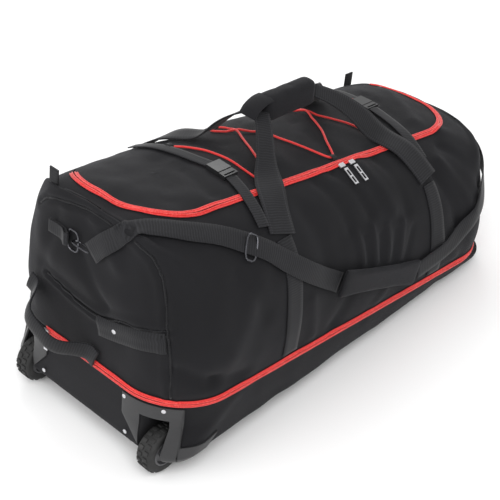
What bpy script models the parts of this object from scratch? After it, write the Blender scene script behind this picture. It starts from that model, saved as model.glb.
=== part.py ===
"""Wheeled duffel bag with a zipped base compartment and a U-shaped zipped lid.

Metres. +X runs along the bag, the wheels are at the -X end, the front side with
the shoulder strap faces -Y, and +Z is up. The origin is on the floor under the
middle of the bag. Every piece is drawn level with the base zipper and then stood
on its wheels and skid by STAND, which leans the bag down towards +X.
"""

import math

import bmesh
import bpy
from mathutils import Matrix, Vector
from mathutils.bvhtree import BVHTree

# ------------------------------------------------------------------ driving sizes
LENGTH = 0.904           # fabric body, end to end
WIDTH = 0.46             # fabric body, side to side
FLOOR_GAP = 0.035        # underside of the base over the lowest point of a wheel
BASE_RISE = 0.125        # how fast the wedge-shaped base rises per metre towards +X
LEAN = math.radians(7.9)
STAND = Matrix.Translation((-0.0321, 0.0, -0.05703)) @ Matrix.Rotation(LEAN, 4, "Y")
ZIP_Z = 0.163            # height of the base zipper
TOP_Z = 0.44             # crown of the bag, halfway along
TILT = 0.095             # how much lower the crown is per metre towards +X
SIDE_POWER = 2.9         # squareness of the arch from side to side
END_POWER = 10.0         # squareness of the top from end to end
ARCH_HALF_LENGTH = 0.470
WALL = 0.004             # fabric with its foam lining
SEAM_GAP = 0.0010        # space between sewn or zipped neighbours

ARC_STEPS = 7
LONG_STEPS = 6
SHORT_STEPS = 3

WHEEL_X = -0.418
WHEEL_Y = 0.165
WHEEL_RADIUS = 0.044
WHEEL_WIDTH = 0.034
HUB_RADIUS = 0.027
AXLE_RADIUS = 0.004
AXLE_CLEARANCE = 0.0001
HOUSING_X = -0.335       # inner end of a wheel housing
HOUSING_Y = 0.105        # side of a wheel housing towards the middle
HOUSING_TOP = 0.149
WELL_HALF_WIDTH = 0.024
WELL_TOP = 0.124
SKID_HEIGHT = 0.0225

HANDLE_LEFT_X = -0.178   # where the carry handles' legs are sewn down
HANDLE_RIGHT_X = 0.232
WEB_WIDE = 0.050         # padded webbing of the carry handles
WEB = 0.038              # shoulder strap
WEB_SLIM = 0.025         # compression straps and sewn-down strips
WEB_THICK = 0.0022
GRIP_LOW_X = -0.060      # ends of the grip wrap
GRIP_HIGH_X = 0.072
GRIP_Z = 0.522

STRAP_LEFT_X = -0.215
STRAP_RIGHT_X = 0.262
CORD_RADIUS = 0.0020

MATERIALS = {
    "ballistic_fabric": ((0.022, 0.022, 0.025), 0.85, 0.0),
    "pocket_fabric": ((0.026, 0.025, 0.029), 0.80, 0.0),
    "webbing": ((0.034, 0.034, 0.038), 0.75, 0.0),
    "zip_tape": ((0.62, 0.035, 0.030), 0.55, 0.0),
    "bungee": ((0.66, 0.030, 0.035), 0.60, 0.0),
    "housing_plastic": ((0.040, 0.040, 0.042), 0.42, 0.0),
    "buckle_plastic": ((0.020, 0.020, 0.021), 0.35, 0.0),
    "tyre": ((0.018, 0.018, 0.018), 0.70, 0.0),
    "hub_plastic": ((0.055, 0.055, 0.058), 0.45, 0.0),
    "nickel": ((0.62, 0.62, 0.64), 0.28, 1.0),
    "board": ((0.030, 0.030, 0.032), 0.60, 0.0),
}


# ------------------------------------------------------------------ scene helpers
def clear_scene():
    for obj in list(bpy.data.objects):
        bpy.data.objects.remove(obj)


def new_collection(name):
    collection = bpy.data.collections.new(name)
    bpy.context.scene.collection.children.link(collection)
    return collection


def material(name):
    found = bpy.data.materials.get(name)
    if found:
        return found
    color, roughness, metallic = MATERIALS[name]
    made = bpy.data.materials.new(name)
    made.use_nodes = True
    shader = made.node_tree.nodes["Principled BSDF"]
    shader.inputs["Base Color"].default_value = (*color, 1.0)
    shader.inputs["Roughness"].default_value = roughness
    shader.inputs["Metallic"].default_value = metallic
    return made


def add_object(name, data, finish, parent=None):
    """Stands a mesh or curve on its wheels and links it, with its origin on its parent."""
    data.transform(STAND)
    obj = bpy.data.objects.new(name, data)
    PARTS.objects.link(obj)
    if finish:
        data.materials.append(material(finish))
    if parent:
        obj.parent = parent
        obj.location = -parent.location
    return obj


def pivot(name, place):
    """An empty on a joint's axis."""
    empty = bpy.data.objects.new(name, None)
    empty.location = STAND @ Vector(place)
    PARTS.objects.link(empty)
    return empty


def mesh_from(name, bm):
    bmesh.ops.recalc_face_normals(bm, faces=bm.faces)
    mesh = bpy.data.meshes.new(name)
    bm.to_mesh(mesh)
    bm.free()
    return mesh


def cutter(name, mesh):
    mesh.transform(STAND)
    obj = bpy.data.objects.new(name, mesh)
    CUTTERS.objects.link(obj)
    obj.hide_render = True
    obj.display_type = "WIRE"
    return obj


def boolean(obj, tool, operation):
    modifier = obj.modifiers.new(operation.lower(), "BOOLEAN")
    modifier.object = tool
    modifier.operation = operation
    return modifier


def solidify(obj, thickness, offset):
    modifier = obj.modifiers.new("thickness", "SOLIDIFY")
    modifier.thickness = thickness
    modifier.offset = offset
    modifier.use_even_offset = False
    return modifier


# ------------------------------------------------------------------ shape helpers
def crown(x):
    """Height of the top's middle line, which falls away towards +X."""
    return TOP_Z - TILT * x


def arch(x, y):
    """Height of the bag's arched top."""
    side = max(0.0, 1 - (abs(y) * 2 / WIDTH) ** SIDE_POWER) ** (1 / SIDE_POWER)
    end = max(0.0, 1 - (abs(x) / ARCH_HALF_LENGTH) ** END_POWER) ** (1 / END_POWER)
    return ZIP_Z + (crown(x) - ZIP_Z) * side * end


def level(z):
    return lambda x, y: z


def underside(x):
    """Height of the base's underside, which closes on the zipper towards +X."""
    return FLOOR_GAP + BASE_RISE * (x - WHEEL_X)


def base_share(part):
    """A height that is a share of the way from the underside to the base zipper."""
    return lambda x, y: underside(x) + (ZIP_Z - 0.004 - underside(x)) * part


def share(part):
    """A height that is a share of the way from the base zipper to the crown."""
    return lambda x, y: ZIP_Z + (crown(x) - ZIP_Z) * part


def raised(rise):
    return lambda x, y: arch(x, y) + rise


# A ring is (low x, high x, low y, high y, corner radius, rule for its height).
BASE_RINGS = (
    (-0.428, 0.438, -0.205, 0.205, 0.050, base_share(0.0)),
    (-0.446, 0.449, -0.222, 0.222, 0.060, base_share(0.10)),
    (-0.450, 0.451, -0.227, 0.227, 0.118, base_share(0.56)),
    (-0.452, 0.452, -0.230, 0.230, 0.120, base_share(1.0)),
)
SHELL_RINGS = (
    (-0.452, 0.452, -0.230, 0.230, 0.120, level(ZIP_Z + 0.002)),
    (-0.456, 0.458, -0.233, 0.232, 0.120, share(0.22)),
    (-0.455, 0.460, -0.221, 0.221, 0.120, share(0.50)),
    (-0.448, 0.455, -0.203, 0.203, 0.118, raised(0.0)),
    (-0.440, 0.448, -0.174, 0.186, 0.118, raised(0.0)),
    (-0.430, 0.440, -0.142, 0.171, 0.115, raised(0.0)),
    (-0.416, 0.430, -0.108, 0.158, 0.110, raised(0.0)),
)
RIM = SHELL_RINGS[-1]
LID_GAPS = (0.002, 0.002, 0.0015, 0.004)     # at the low x, high x, low y and high y edges
LID_INSETS = (0.036, 0.074, 0.108)


def ring_points(ring):
    """A rounded rectangle as points, counter-clockwise from the middle of the +X end."""
    x0, x1, y0, y1, radius, rule = ring
    corners = (
        (x1 - radius, y1 - radius, 0, SHORT_STEPS),
        (x0 + radius, y1 - radius, 90, LONG_STEPS),
        (x0 + radius, y0 + radius, 180, SHORT_STEPS),
        (x1 - radius, y0 + radius, 270, LONG_STEPS),
    )
    flat = []
    for index, (cx, cy, start, _) in enumerate(corners):
        for step in range(ARC_STEPS + 1):
            turn = math.radians(start + 90 * step / ARC_STEPS)
            flat.append((cx + radius * math.cos(turn), cy + radius * math.sin(turn)))
        nx, ny, after, _ = corners[(index + 1) % 4]
        steps = corners[(index + 1) % 4][3]
        turn = math.radians(after)
        goal = (nx + radius * math.cos(turn), ny + radius * math.sin(turn))
        last = flat[-1]
        for step in range(1, steps):
            part = step / steps
            flat.append((last[0] + (goal[0] - last[0]) * part, last[1] + (goal[1] - last[1]) * part))
    return [Vector((x, y, rule(x, y))) for x, y in flat]


def grown(ring, by):
    x0, x1, y0, y1, radius, rule = ring
    return (x0 - by, x1 + by, y0 - by, y1 + by, radius + by, rule)


def loft(name, loops, cap_first=False, cap_last=False):
    """A surface through loops of equally many points."""
    bm = bmesh.new()
    rows = [[bm.verts.new(point) for point in loop] for loop in loops]
    for low, high in zip(rows, rows[1:]):
        for i in range(len(low)):
            j = (i + 1) % len(low)
            bm.faces.new((low[i], low[j], high[j], high[i]))
    if cap_first:
        bm.faces.new(list(reversed(rows[0])))
    if cap_last:
        bm.faces.new(rows[-1])
    return mesh_from(name, bm)


def ribbon(name, rows, finish, thickness=WEB_THICK, parent=None):
    """A strip of webbing through rows of points, each row going across it."""
    bm = bmesh.new()
    made = [[bm.verts.new(point) for point in row] for row in rows]
    for low, high in zip(made, made[1:]):
        for i in range(len(low) - 1):
            bm.faces.new((low[i], low[i + 1], high[i + 1], high[i]))
    obj = add_object(name, mesh_from(name, bm), finish, parent)
    solidify(obj, thickness, 0.0)
    return obj


def box_mesh(name, low, high, bevel=0.0):
    bm = bmesh.new()
    bmesh.ops.create_cube(bm, size=1.0)
    low, high = Vector(low), Vector(high)
    bmesh.ops.scale(bm, vec=high - low, verts=bm.verts)
    bmesh.ops.translate(bm, vec=(low + high) / 2, verts=bm.verts)
    if bevel:
        bmesh.ops.bevel(bm, geom=bm.edges[:], offset=bevel, segments=2, profile=0.5,
                        affect="EDGES", material=-1)
    return mesh_from(name, bm)


def rod_mesh(name, start, end, radius, sides=20):
    start, end = Vector(start), Vector(end)
    bm = bmesh.new()
    bmesh.ops.create_cone(bm, cap_ends=True, segments=sides, radius1=radius, radius2=radius,
                          depth=(end - start).length)
    turn = (end - start).to_track_quat("Z", "Y").to_matrix()
    bmesh.ops.rotate(bm, cent=(0, 0, 0), matrix=turn, verts=bm.verts)
    bmesh.ops.translate(bm, vec=(start + end) / 2, verts=bm.verts)
    return mesh_from(name, bm)


def smooth_path(points, spacing):
    """Evenly spaced points on a Catmull-Rom curve through the given ones."""
    points = [Vector(p) for p in points]
    ends = [points[0] * 2 - points[1], *points, points[-1] * 2 - points[-2]]
    fine = []
    for a, b, c, d in zip(ends, ends[1:], ends[2:], ends[3:]):
        for step in range(12):
            t = step / 12
            fine.append(0.5 * (b * 2 + (c - a) * t + (a * 2 - b * 5 + c * 4 - d) * t * t
                               + (b * 3 - a - c * 3 + d) * t ** 3))
    fine.append(points[-1])
    total = sum((b - a).length for a, b in zip(fine, fine[1:]))
    count = max(2, round(total / spacing))
    out, run, index = [fine[0]], 0.0, 0
    for step in range(1, count):
        goal = total * step / count
        while run + (fine[index + 1] - fine[index]).length < goal:
            run += (fine[index + 1] - fine[index]).length
            index += 1
        piece = (fine[index + 1] - fine[index]).length
        out.append(fine[index].lerp(fine[index + 1], (goal - run) / piece))
    out.append(fine[-1])
    return out


def tube(name, points, radius, finish, parent=None, resolution=2):
    curve = bpy.data.curves.new(name, "CURVE")
    curve.dimensions = "3D"
    curve.bevel_depth = radius
    curve.bevel_resolution = resolution
    curve.use_fill_caps = True
    spline = curve.splines.new("POLY")
    spline.points.add(len(points) - 1)
    for spot, point in zip(spline.points, points):
        spot.co = (*point, 1.0)
    return add_object(name, curve, finish, parent)


def section(x):
    """(y, z) of the upper body across the bag at x, from the front zipper to the rear one."""
    lid = [lid_ring(inset) for inset in (0.0, *LID_INSETS)]
    rings = (*SHELL_RINGS, *lid)
    front = [(ring[2], ring[5](x, ring[2])) for ring in rings]
    rear = [(ring[3], ring[5](x, ring[3])) for ring in reversed(rings)]
    return front + rear


def surface_z(x, y):
    """Height of the bag's top at a place within its straight middle."""
    line = section(x)[2:-2]
    for (ya, za), (yb, zb) in zip(line, line[1:]):
        if ya <= y <= yb:
            return za + (zb - za) * (y - ya) / (yb - ya)
    raise ValueError(f"{y} is off the top")


def over_bag(x_start, y_start, x_end, y_end, lift):
    """Points lying on the bag's top from one place to another, lifted off it."""
    knots = [y for y, _ in section(0.0)[2:-2] if min(y_start, y_end) < y < max(y_start, y_end)]
    ys = sorted({y_start, y_end, *knots}, reverse=y_end < y_start)
    points = []
    for y in ys:
        x = x_start + (x_end - x_start) * (y - y_start) / (y_end - y_start)
        slope = (surface_z(x, y + 0.004) - surface_z(x, y - 0.004)) / 0.008
        normal = Vector((0.0, -slope, 1.0)).normalized()
        points.append(Vector((x, y, surface_z(x, y))) + normal * lift)
    return points


def across(points, direction, width):
    """Rows of two points either side of a path."""
    half = Vector(direction).normalized() * width / 2
    return [[point - half, point + half] for point in points]


# ------------------------------------------------------------------ base compartment
def build_base():
    tray = add_object("base_tray", loft("base_tray", [ring_points(r) for r in BASE_RINGS],
                                        cap_first=True), "ballistic_fabric")
    solidify(tray, WALL, -1.0)
    low = (-0.60, HOUSING_Y - SEAM_GAP, -0.05)
    high = (HOUSING_X + SEAM_GAP, 0.30, HOUSING_TOP + SEAM_GAP)
    for side in (-1, 1):
        ends = sorted((side * low[1], side * high[1]))
        notch = cutter(f"tray_notch_{side}", box_mesh(f"tray_notch_{side}", (low[0], ends[0], low[2]),
                                                      (high[0], ends[1], high[2])))
        boolean(tray, notch, "DIFFERENCE")
    board = [ring_points((HOUSING_X + 0.010, 0.425, -0.188, 0.188, 0.045,
                          lambda x, y, rise=rise: underside(x) + rise))
             for rise in (WALL + SEAM_GAP, WALL + SEAM_GAP + 0.004)]
    add_object("base_board", loft("base_board", board, cap_first=True, cap_last=True), "board")
    skid = box_mesh("rear_skid", (0.358, -0.150, 0.0), (0.388, 0.150, SKID_HEIGHT), 0.004)
    skid.transform(STAND.inverted())
    add_object("rear_skid", skid, "housing_plastic")


def short_of_rear(loop, limit):
    """The run of a loop from its wheel end round the front to its far end, short of limit."""
    count = len(loop)
    start = next(i for i, p in enumerate(loop) if p.y < limit and p.x < 0)
    run = [loop[(start - 1 + step) % count] for step in range(count)]
    stop = next(i for i in range(1, count) if run[i].y >= limit)
    first = run[0].lerp(run[1], (limit - run[0].y) / (run[1].y - run[0].y))
    last = run[stop - 1].lerp(run[stop], (limit - run[stop - 1].y) / (run[stop].y - run[stop - 1].y))
    return [first, *run[1:stop], last]


def build_zip_tape(name, ring, low_z, high_z):
    """One side of the base zipper: round the wheel end, the front and the far end."""
    kept = short_of_rear(ring_points(grown(ring, 0.0022)), 0.100)
    rows = [[Vector((p.x, p.y, low_z)), Vector((p.x, p.y, high_z))] for p in kept]
    return ribbon(name, rows, "zip_tape", 0.0016)


def build_wheel(name, side):
    centre_y = side * WHEEL_Y
    outer = [ring_points(grown(ring, 0.002)) for ring in BASE_RINGS]
    housing = add_object(f"wheel_housing_{name}",
                         loft(f"wheel_housing_{name}", outer, cap_first=True, cap_last=True),
                         "housing_plastic")
    ends = sorted((side * HOUSING_Y, side * 0.30))
    keep = cutter(f"housing_block_{name}",
                  box_mesh(f"housing_block_{name}", (-0.60, ends[0], 0.0),
                           (HOUSING_X, ends[1], HOUSING_TOP)))
    boolean(housing, keep, "INTERSECT")
    well = cutter(f"housing_well_{name}",
                  box_mesh(f"housing_well_{name}", (-0.60, centre_y - WELL_HALF_WIDTH, -0.05),
                           (WHEEL_X + WHEEL_RADIUS + 0.008, centre_y + WELL_HALF_WIDTH, WELL_TOP)))
    boolean(housing, well, "DIFFERENCE")
    hole = cutter(f"housing_bore_{name}",
                  rod_mesh(f"housing_bore_{name}", (WHEEL_X, centre_y - 0.036, WHEEL_RADIUS),
                           (WHEEL_X, centre_y + 0.036, WHEEL_RADIUS),
                           AXLE_RADIUS + AXLE_CLEARANCE))
    boolean(housing, hole, "DIFFERENCE")
    add_object(f"axle_{name}",
               rod_mesh(f"axle_{name}", (WHEEL_X, centre_y - 0.034, WHEEL_RADIUS),
                        (WHEEL_X, centre_y + 0.034, WHEEL_RADIUS), AXLE_RADIUS), "nickel")
    spin = pivot(f"wheel_{name}_pivot", (WHEEL_X, centre_y, WHEEL_RADIUS))
    half = WHEEL_WIDTH / 2
    tyre_profile = ((HUB_RADIUS, half), (WHEEL_RADIUS - 0.005, half), (WHEEL_RADIUS, half - 0.006),
                    (WHEEL_RADIUS, 0.006 - half), (WHEEL_RADIUS - 0.005, -half), (HUB_RADIUS, -half))
    bore = AXLE_RADIUS + AXLE_CLEARANCE
    rim = HUB_RADIUS - 0.0005
    hub_profile = ((bore, half + 0.001), (0.010, half + 0.001), (0.012, half - 0.006),
                   (rim - 0.005, half - 0.006), (rim - 0.003, half), (rim, half),
                   (rim, -half), (rim - 0.003, -half), (rim - 0.005, 0.006 - half),
                   (0.012, 0.006 - half), (0.010, -half - 0.001), (bore, -half - 0.001))
    turned(f"tyre_{name}", tyre_profile, "tyre", centre_y, spin)
    turned(f"hub_{name}", hub_profile, "hub_plastic", centre_y, spin)


def turned(name, profile, finish, centre_y, parent, sides=28):
    """A ring turned about a wheel's axis, from (radius, y) points."""
    bm = bmesh.new()
    verts = [bm.verts.new((radius, y, 0.0)) for radius, y in profile]
    edges = [bm.edges.new((a, b)) for a, b in zip(verts, verts[1:] + verts[:1])]
    bmesh.ops.spin(bm, geom=verts + edges, cent=(0, 0, 0), axis=(0, 1, 0), angle=math.tau,
                   steps=sides, use_merge=True)
    bmesh.ops.remove_doubles(bm, verts=bm.verts, dist=1e-5)
    bmesh.ops.translate(bm, vec=(WHEEL_X, centre_y, WHEEL_RADIUS), verts=bm.verts)
    return add_object(name, mesh_from(name, bm), finish, parent)


# ------------------------------------------------------------------ upper body
def build_shell():
    shell = add_object("bag_shell", loft("bag_shell", [ring_points(r) for r in SHELL_RINGS]),
                       "ballistic_fabric")
    solidify(shell, WALL, -1.0)
    inside = grown(SHELL_RINGS[0], -WALL - SEAM_GAP)
    floor = [ring_points((*inside[:5], level(z))) for z in (ZIP_Z + 0.0022, ZIP_Z + 0.0052)]
    add_object("divider_panel", loft("divider_panel", floor, cap_first=True, cap_last=True),
               "pocket_fabric")


def end_x(z):
    """The wheel end's face at a height, on the bag's middle line."""
    return face_x(z, 0)


def far_x(z):
    return face_x(z, 1)


def face_x(z, end):
    line = [(ring[5](ring[end], 0.0), ring[end]) for ring in SHELL_RINGS]
    for (za, xa), (zb, xb) in zip(line, line[1:]):
        if za <= z <= zb:
            return xa + (xb - xa) * (z - za) / (zb - za)
    raise ValueError(f"{z} is off the end")


def build_end_panel():
    """The puffed panel of the wheel end, and the webbing sewn across it."""
    puffs = ((0.292, 0.0030), (0.302, 0.0080), (0.320, 0.0110), (0.340, 0.0080), (0.352, 0.0030))
    wide = (-0.098, -0.070, 0.0, 0.070, 0.098)
    bm = bmesh.new()
    back = [[bm.verts.new((end_x(z) - 0.0018, y, z)) for y in wide] for z, _ in puffs]
    front = [[bm.verts.new((end_x(z) - 0.0024 - puff * (1 - (abs(y) / 0.115) ** 3), y, z))
              for y in wide] for z, puff in puffs]
    for grid in (back, front):
        for low, high in zip(grid, grid[1:]):
            for i in range(len(low) - 1):
                bm.faces.new((low[i], low[i + 1], high[i + 1], high[i]))
    around_back, around_front = rim_of(back), rim_of(front)
    for i in range(len(around_back)):
        j = (i + 1) % len(around_back)
        bm.faces.new((around_back[i], around_back[j], around_front[j], around_front[i]))
    add_object("end_pocket", mesh_from("end_pocket", bm), "pocket_fabric")
    patch_z = 0.266
    path = [Vector((end_x(patch_z) - 0.0024, y, patch_z)) for y in (-0.106, -0.05, 0.0, 0.05, 0.106)]
    ribbon("end_patch", across(path, (0, 0, 1), WEB), "webbing")


def rim_of(grid):
    """The outer verts of a grid of verts, in order."""
    return (grid[0][:-1] + [row[-1] for row in grid[:-1]] + grid[-1][:0:-1]
            + [row[0] for row in grid[:0:-1]])


def grab_handle(name, side, middle_y, foot_z, half_span, reach):
    """A loop of webbing standing off an end of the bag, sewn down at two feet."""
    face = SHELL_RINGS[1][0] if side < 0 else SHELL_RINGS[2][1]
    base = face + side * 0.0026
    profile = ((half_span + 0.022, 0.0), (half_span, 0.0), (half_span - 0.010, 0.30),
               (half_span - 0.024, 0.80), (half_span - 0.040, 1.0))
    points = [(y, depth) for y, depth in profile] + [(-y, depth) for y, depth in reversed(profile)]
    rows = []
    for y, depth in points:
        width = WEB * (1.0 - 0.35 * depth)
        place = Vector((base + side * reach * depth, middle_y + y, foot_z))
        rows.append([place - Vector((0, 0, width / 2)), place + Vector((0, 0, width / 2))])
    return ribbon(name, rows, "webbing")


def lid_ring(inset):
    """The lid's edge, or a ring inside it."""
    x0, x1, y0, y1, radius, rule = RIM
    gx0, gx1, gy0, gy1 = LID_GAPS
    return (x0 + gx0 + inset, x1 - gx1 - inset, y0 + gy0 + inset, y1 - gy1 - inset,
            max(0.012, radius - 0.002 - inset * 0.9), rule)


def build_lid():
    rings = [lid_ring(inset) for inset in (0.0, *LID_INSETS)]
    lid = add_object("lid_panel", loft("lid_panel", [ring_points(r) for r in rings], cap_last=True),
                     "ballistic_fabric", LID_PIVOT)
    solidify(lid, WALL, -1.0)


def build_top_zip():
    """The two sides of the lid's zipper, which ends short of the rear corners."""
    rear_limit = 0.115
    sides = (
        ("top_zip_tape", ring_points(RIM), ring_points(SHELL_RINGS[-2]), None),
        ("lid_zip_tape", ring_points(lid_ring(0.0)), ring_points(lid_ring(LID_INSETS[0])), LID_PIVOT),
    )
    for name, edge, other, parent in sides:
        lift = Vector((0, 0, 0.0022))
        ways = [(b - a).normalized() for a, b in zip(edge, other)]
        near = [point + way * 0.0008 + lift for point, way in zip(edge, ways)]
        far = [point + way * 0.0078 + lift for point, way in zip(edge, ways)]
        start = next(i for i, p in enumerate(edge) if p.y < rear_limit and p.x < 0)
        order = [(start + step) % len(edge) for step in range(len(edge))]
        kept = [i for i in order if edge[i].y < rear_limit]
        ribbon(name, [[near[i], far[i]] for i in kept], "zip_tape", 0.0016, parent)


# ------------------------------------------------------------------ straps and handles
def build_side_strips():
    """Webbing sewn down each side under the handles' legs."""
    for where, low_or_high, out in (("front", 2, -1), ("rear", 3, 1)):
        for name, x in (("left", HANDLE_LEFT_X), ("right", HANDLE_RIGHT_X)):
            points = []
            for ring in SHELL_RINGS[:4]:
                y = ring[low_or_high]
                points.append(Vector((x, y + out * 0.0026, ring[5](x, y))))
            points[0].z += 0.013
            ribbon(f"strip_{where}_{name}", across(points, (1, 0, 0), WEB), "webbing")


LEG_LIFT = 0.0115        # the legs cross over the zipper and the lacing


def handle_leg(foot_x, foot_y, turn_x, turn_y, grip):
    """Rows of one leg of a carry handle, from its sewn foot up to the grip."""
    lying = over_bag(foot_x, foot_y, turn_x, turn_y, LEG_LIFT)
    start = lying[-1]
    rise = [start.lerp(grip, t) + Vector((0, 0, 0.012 * math.sin(math.pi * t)))
            for t in (0.25, 0.5, 0.75)]
    points = lying + rise + [grip]
    narrow = 0.030
    rows = []
    for i, point in enumerate(points):
        t = max(0.0, (i - len(lying) + 1) / (len(rise) + 1))
        half = Vector((WEB_WIDE + (narrow - WEB_WIDE) * t, 0, 0)) / 2
        rows.append([point - half, point + half])
    return rows


def build_handles():
    """Front and rear carry handles, each a leg down either side of the grip wrap."""
    for where, side, parent in (("front", -1, FRONT_HANDLE_PIVOT), ("rear", 1, REAR_HANDLE_PIVOT)):
        foot_y = side * (0.176 if side < 0 else 0.186)
        for name, foot_x, turn_x, grip_x in (
                ("left", HANDLE_LEFT_X, -0.115, GRIP_LOW_X - 0.016),
                ("right", HANDLE_RIGHT_X, 0.190, GRIP_HIGH_X + 0.016)):
            grip = Vector((grip_x, side * 0.006, GRIP_Z))
            rows = handle_leg(foot_x, foot_y, turn_x, side * 0.075, grip)
            ribbon(f"handle_{where}_{name}", rows, "webbing", 0.003, parent)


def build_grip():
    wrap = box_mesh("grip_wrap", (GRIP_LOW_X + 0.0010, -0.021, 0.497),
                    (GRIP_HIGH_X - 0.0010, 0.021, 0.554), 0.006)
    add_object("grip_wrap", wrap, "pocket_fabric", REAR_HANDLE_PIVOT)


def leaning_box(name, size, place, finish, parent=None, bevel=0.0, holes=()):
    """A box lying on the bag's top: its own x, y, z sizes, leaning as the top leans there.

    place is the middle of its underside as (x, y, lift). holes are boxes cut out of it, each
    (middle, size) in the box's own coordinates from the middle of its underside.
    """
    x, y, lift = place
    slope = math.atan2(surface_z(x, y + size[1] / 2) - surface_z(x, y - size[1] / 2), size[1])
    bottom = Vector((x, y, surface_z(x, y)))
    normal = Vector((0, -math.sin(slope), math.cos(slope)))
    frame = Matrix.Translation(bottom + normal * lift) @ Matrix.Rotation(slope, 4, "X")
    sx, sy, sz = size
    mesh = box_mesh(name, (-sx / 2, -sy / 2, 0), (sx / 2, sy / 2, sz), bevel)
    mesh.transform(frame)
    obj = add_object(name, mesh, finish, parent)
    for index, (middle, hole) in enumerate(holes):
        low = [m - h / 2 for m, h in zip(middle, hole)]
        high = [m + h / 2 for m, h in zip(middle, hole)]
        cut = box_mesh(f"{name}_hole_{index}", low, high)
        cut.transform(frame)
        boolean(obj, cutter(f"{name}_hole_{index}", cut), "DIFFERENCE")
    return obj


PULL_LIFT = 0.0052


def build_top_sliders():
    slider_y = RIM[2] - 0.0068
    for name, x in (("left", 0.046), ("right", 0.074)):
        pin_y = slider_y - 0.0065
        spot = pivot(f"top_pull_{name}_pivot", (x, pin_y, surface_z(x, pin_y) + PULL_LIFT + 0.0009))
        leaning_box(f"top_slider_{name}", (0.013, 0.009, 0.0042), (x, slider_y, 0.0038), "nickel",
                    None, 0.0008)
        slots = [((0, offset, 0.001), (0.0050, 0.0125, 0.01)) for offset in (-0.0082, 0.0072)]
        leaning_box(f"top_pull_{name}", (0.0095, 0.036, 0.0018), (x, slider_y - 0.0240, PULL_LIFT),
                    "nickel", spot, 0.0, slots)


def build_base_slider():
    face = -0.4575
    y, z = 0.096, ZIP_Z
    spot = pivot("base_pull_pivot", (face - 0.0022, y, z - 0.007))
    add_object("base_slider", box_mesh("base_slider", (face - 0.0045, y - 0.0065, z - 0.0045),
                                       (face, y + 0.0065, z + 0.0045), 0.0008), "nickel")
    pull = add_object("base_pull", box_mesh("base_pull", (face - 0.0032, y - 0.0047, z - 0.041),
                                            (face - 0.0014, y + 0.0047, z - 0.0055)), "nickel", spot)
    slot = box_mesh("base_pull_slot", (face - 0.01, y - 0.0025, z - 0.037),
                    (face + 0.01, y + 0.0025, z - 0.011))
    boolean(pull, cutter("base_pull_slot", slot), "DIFFERENCE")


# ------------------------------------------------------------------ lacing
CORD_LIFT = 0.0046
CORD_HUMP = 0.0050
# Places along the cord as (x, y), with a third number of 1 where it rides over another strand.
CORD_ROUTE = (
    (-0.192, 0.080), (-0.174, 0.062), (-0.155, 0.034), (-0.147, -0.008), (-0.144, -0.050),
    (-0.139, -0.078), (-0.126, -0.086), (-0.114, -0.072), (-0.092, -0.030), (-0.066, 0.022),
    (-0.046, 0.066), (-0.044, 0.098), (-0.058, 0.110), (-0.074, 0.100), (-0.062, 0.080),
    (-0.042, 0.062, 1), (-0.014, 0.032), (0.006, -0.004), (0.018, -0.038), (0.031, -0.074),
    (0.045, -0.090), (0.060, -0.082), (0.082, -0.048), (0.112, -0.004), (0.136, 0.050),
    (0.142, 0.098), (0.130, 0.122), (0.112, 0.116), (0.116, 0.092), (0.138, 0.056, 1),
    (0.164, 0.014), (0.184, -0.036), (0.194, -0.078), (0.206, -0.092), (0.219, -0.078),
    (0.232, -0.036), (0.241, 0.010), (0.250, 0.042), (0.259, 0.062),
)
LOCK_X, LOCK_LOW_Y, LOCK_HIGH_Y = 0.260, 0.066, 0.086
LOCK_RADIUS = 0.0070


def build_lacing():
    flat = smooth_path([(p[0], p[1], 0.0) for p in CORD_ROUTE], 0.013)
    overs = [Vector((p[0], p[1], 0.0)) for p in CORD_ROUTE if len(p) > 2]
    points = []
    for p in flat:
        near = min((p - over).length for over in overs)
        hump = CORD_HUMP * max(0.0, 1 - near / 0.022) ** 0.8
        points.append(Vector((p.x, p.y, surface_z(p.x, p.y) + CORD_LIFT + hump)))
    tube("lacing_cord", points, CORD_RADIUS, "bungee", LID_PIVOT)
    middle_z = surface_z(LOCK_X, LOCK_LOW_Y) + 0.0095
    body = add_object("cord_lock_body",
                      rod_mesh("cord_lock_body", (LOCK_X, LOCK_LOW_Y, middle_z),
                               (LOCK_X, LOCK_HIGH_Y, middle_z), LOCK_RADIUS), "buckle_plastic",
                      LID_PIVOT)
    bore = rod_mesh("cord_lock_bore", (LOCK_X, LOCK_HIGH_Y - 0.009, middle_z),
                    (LOCK_X, LOCK_HIGH_Y + 0.010, middle_z), LOCK_RADIUS - 0.0014)
    boolean(body, cutter("cord_lock_bore", bore), "DIFFERENCE")
    spot = pivot("cord_lock_button_pivot", (LOCK_X, LOCK_HIGH_Y, middle_z))
    add_object("cord_lock_button",
               rod_mesh("cord_lock_button", (LOCK_X, LOCK_HIGH_Y - 0.0045, middle_z),
                        (LOCK_X, LOCK_HIGH_Y + 0.0045, middle_z), LOCK_RADIUS - 0.0019),
               "buckle_plastic", spot)


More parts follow.
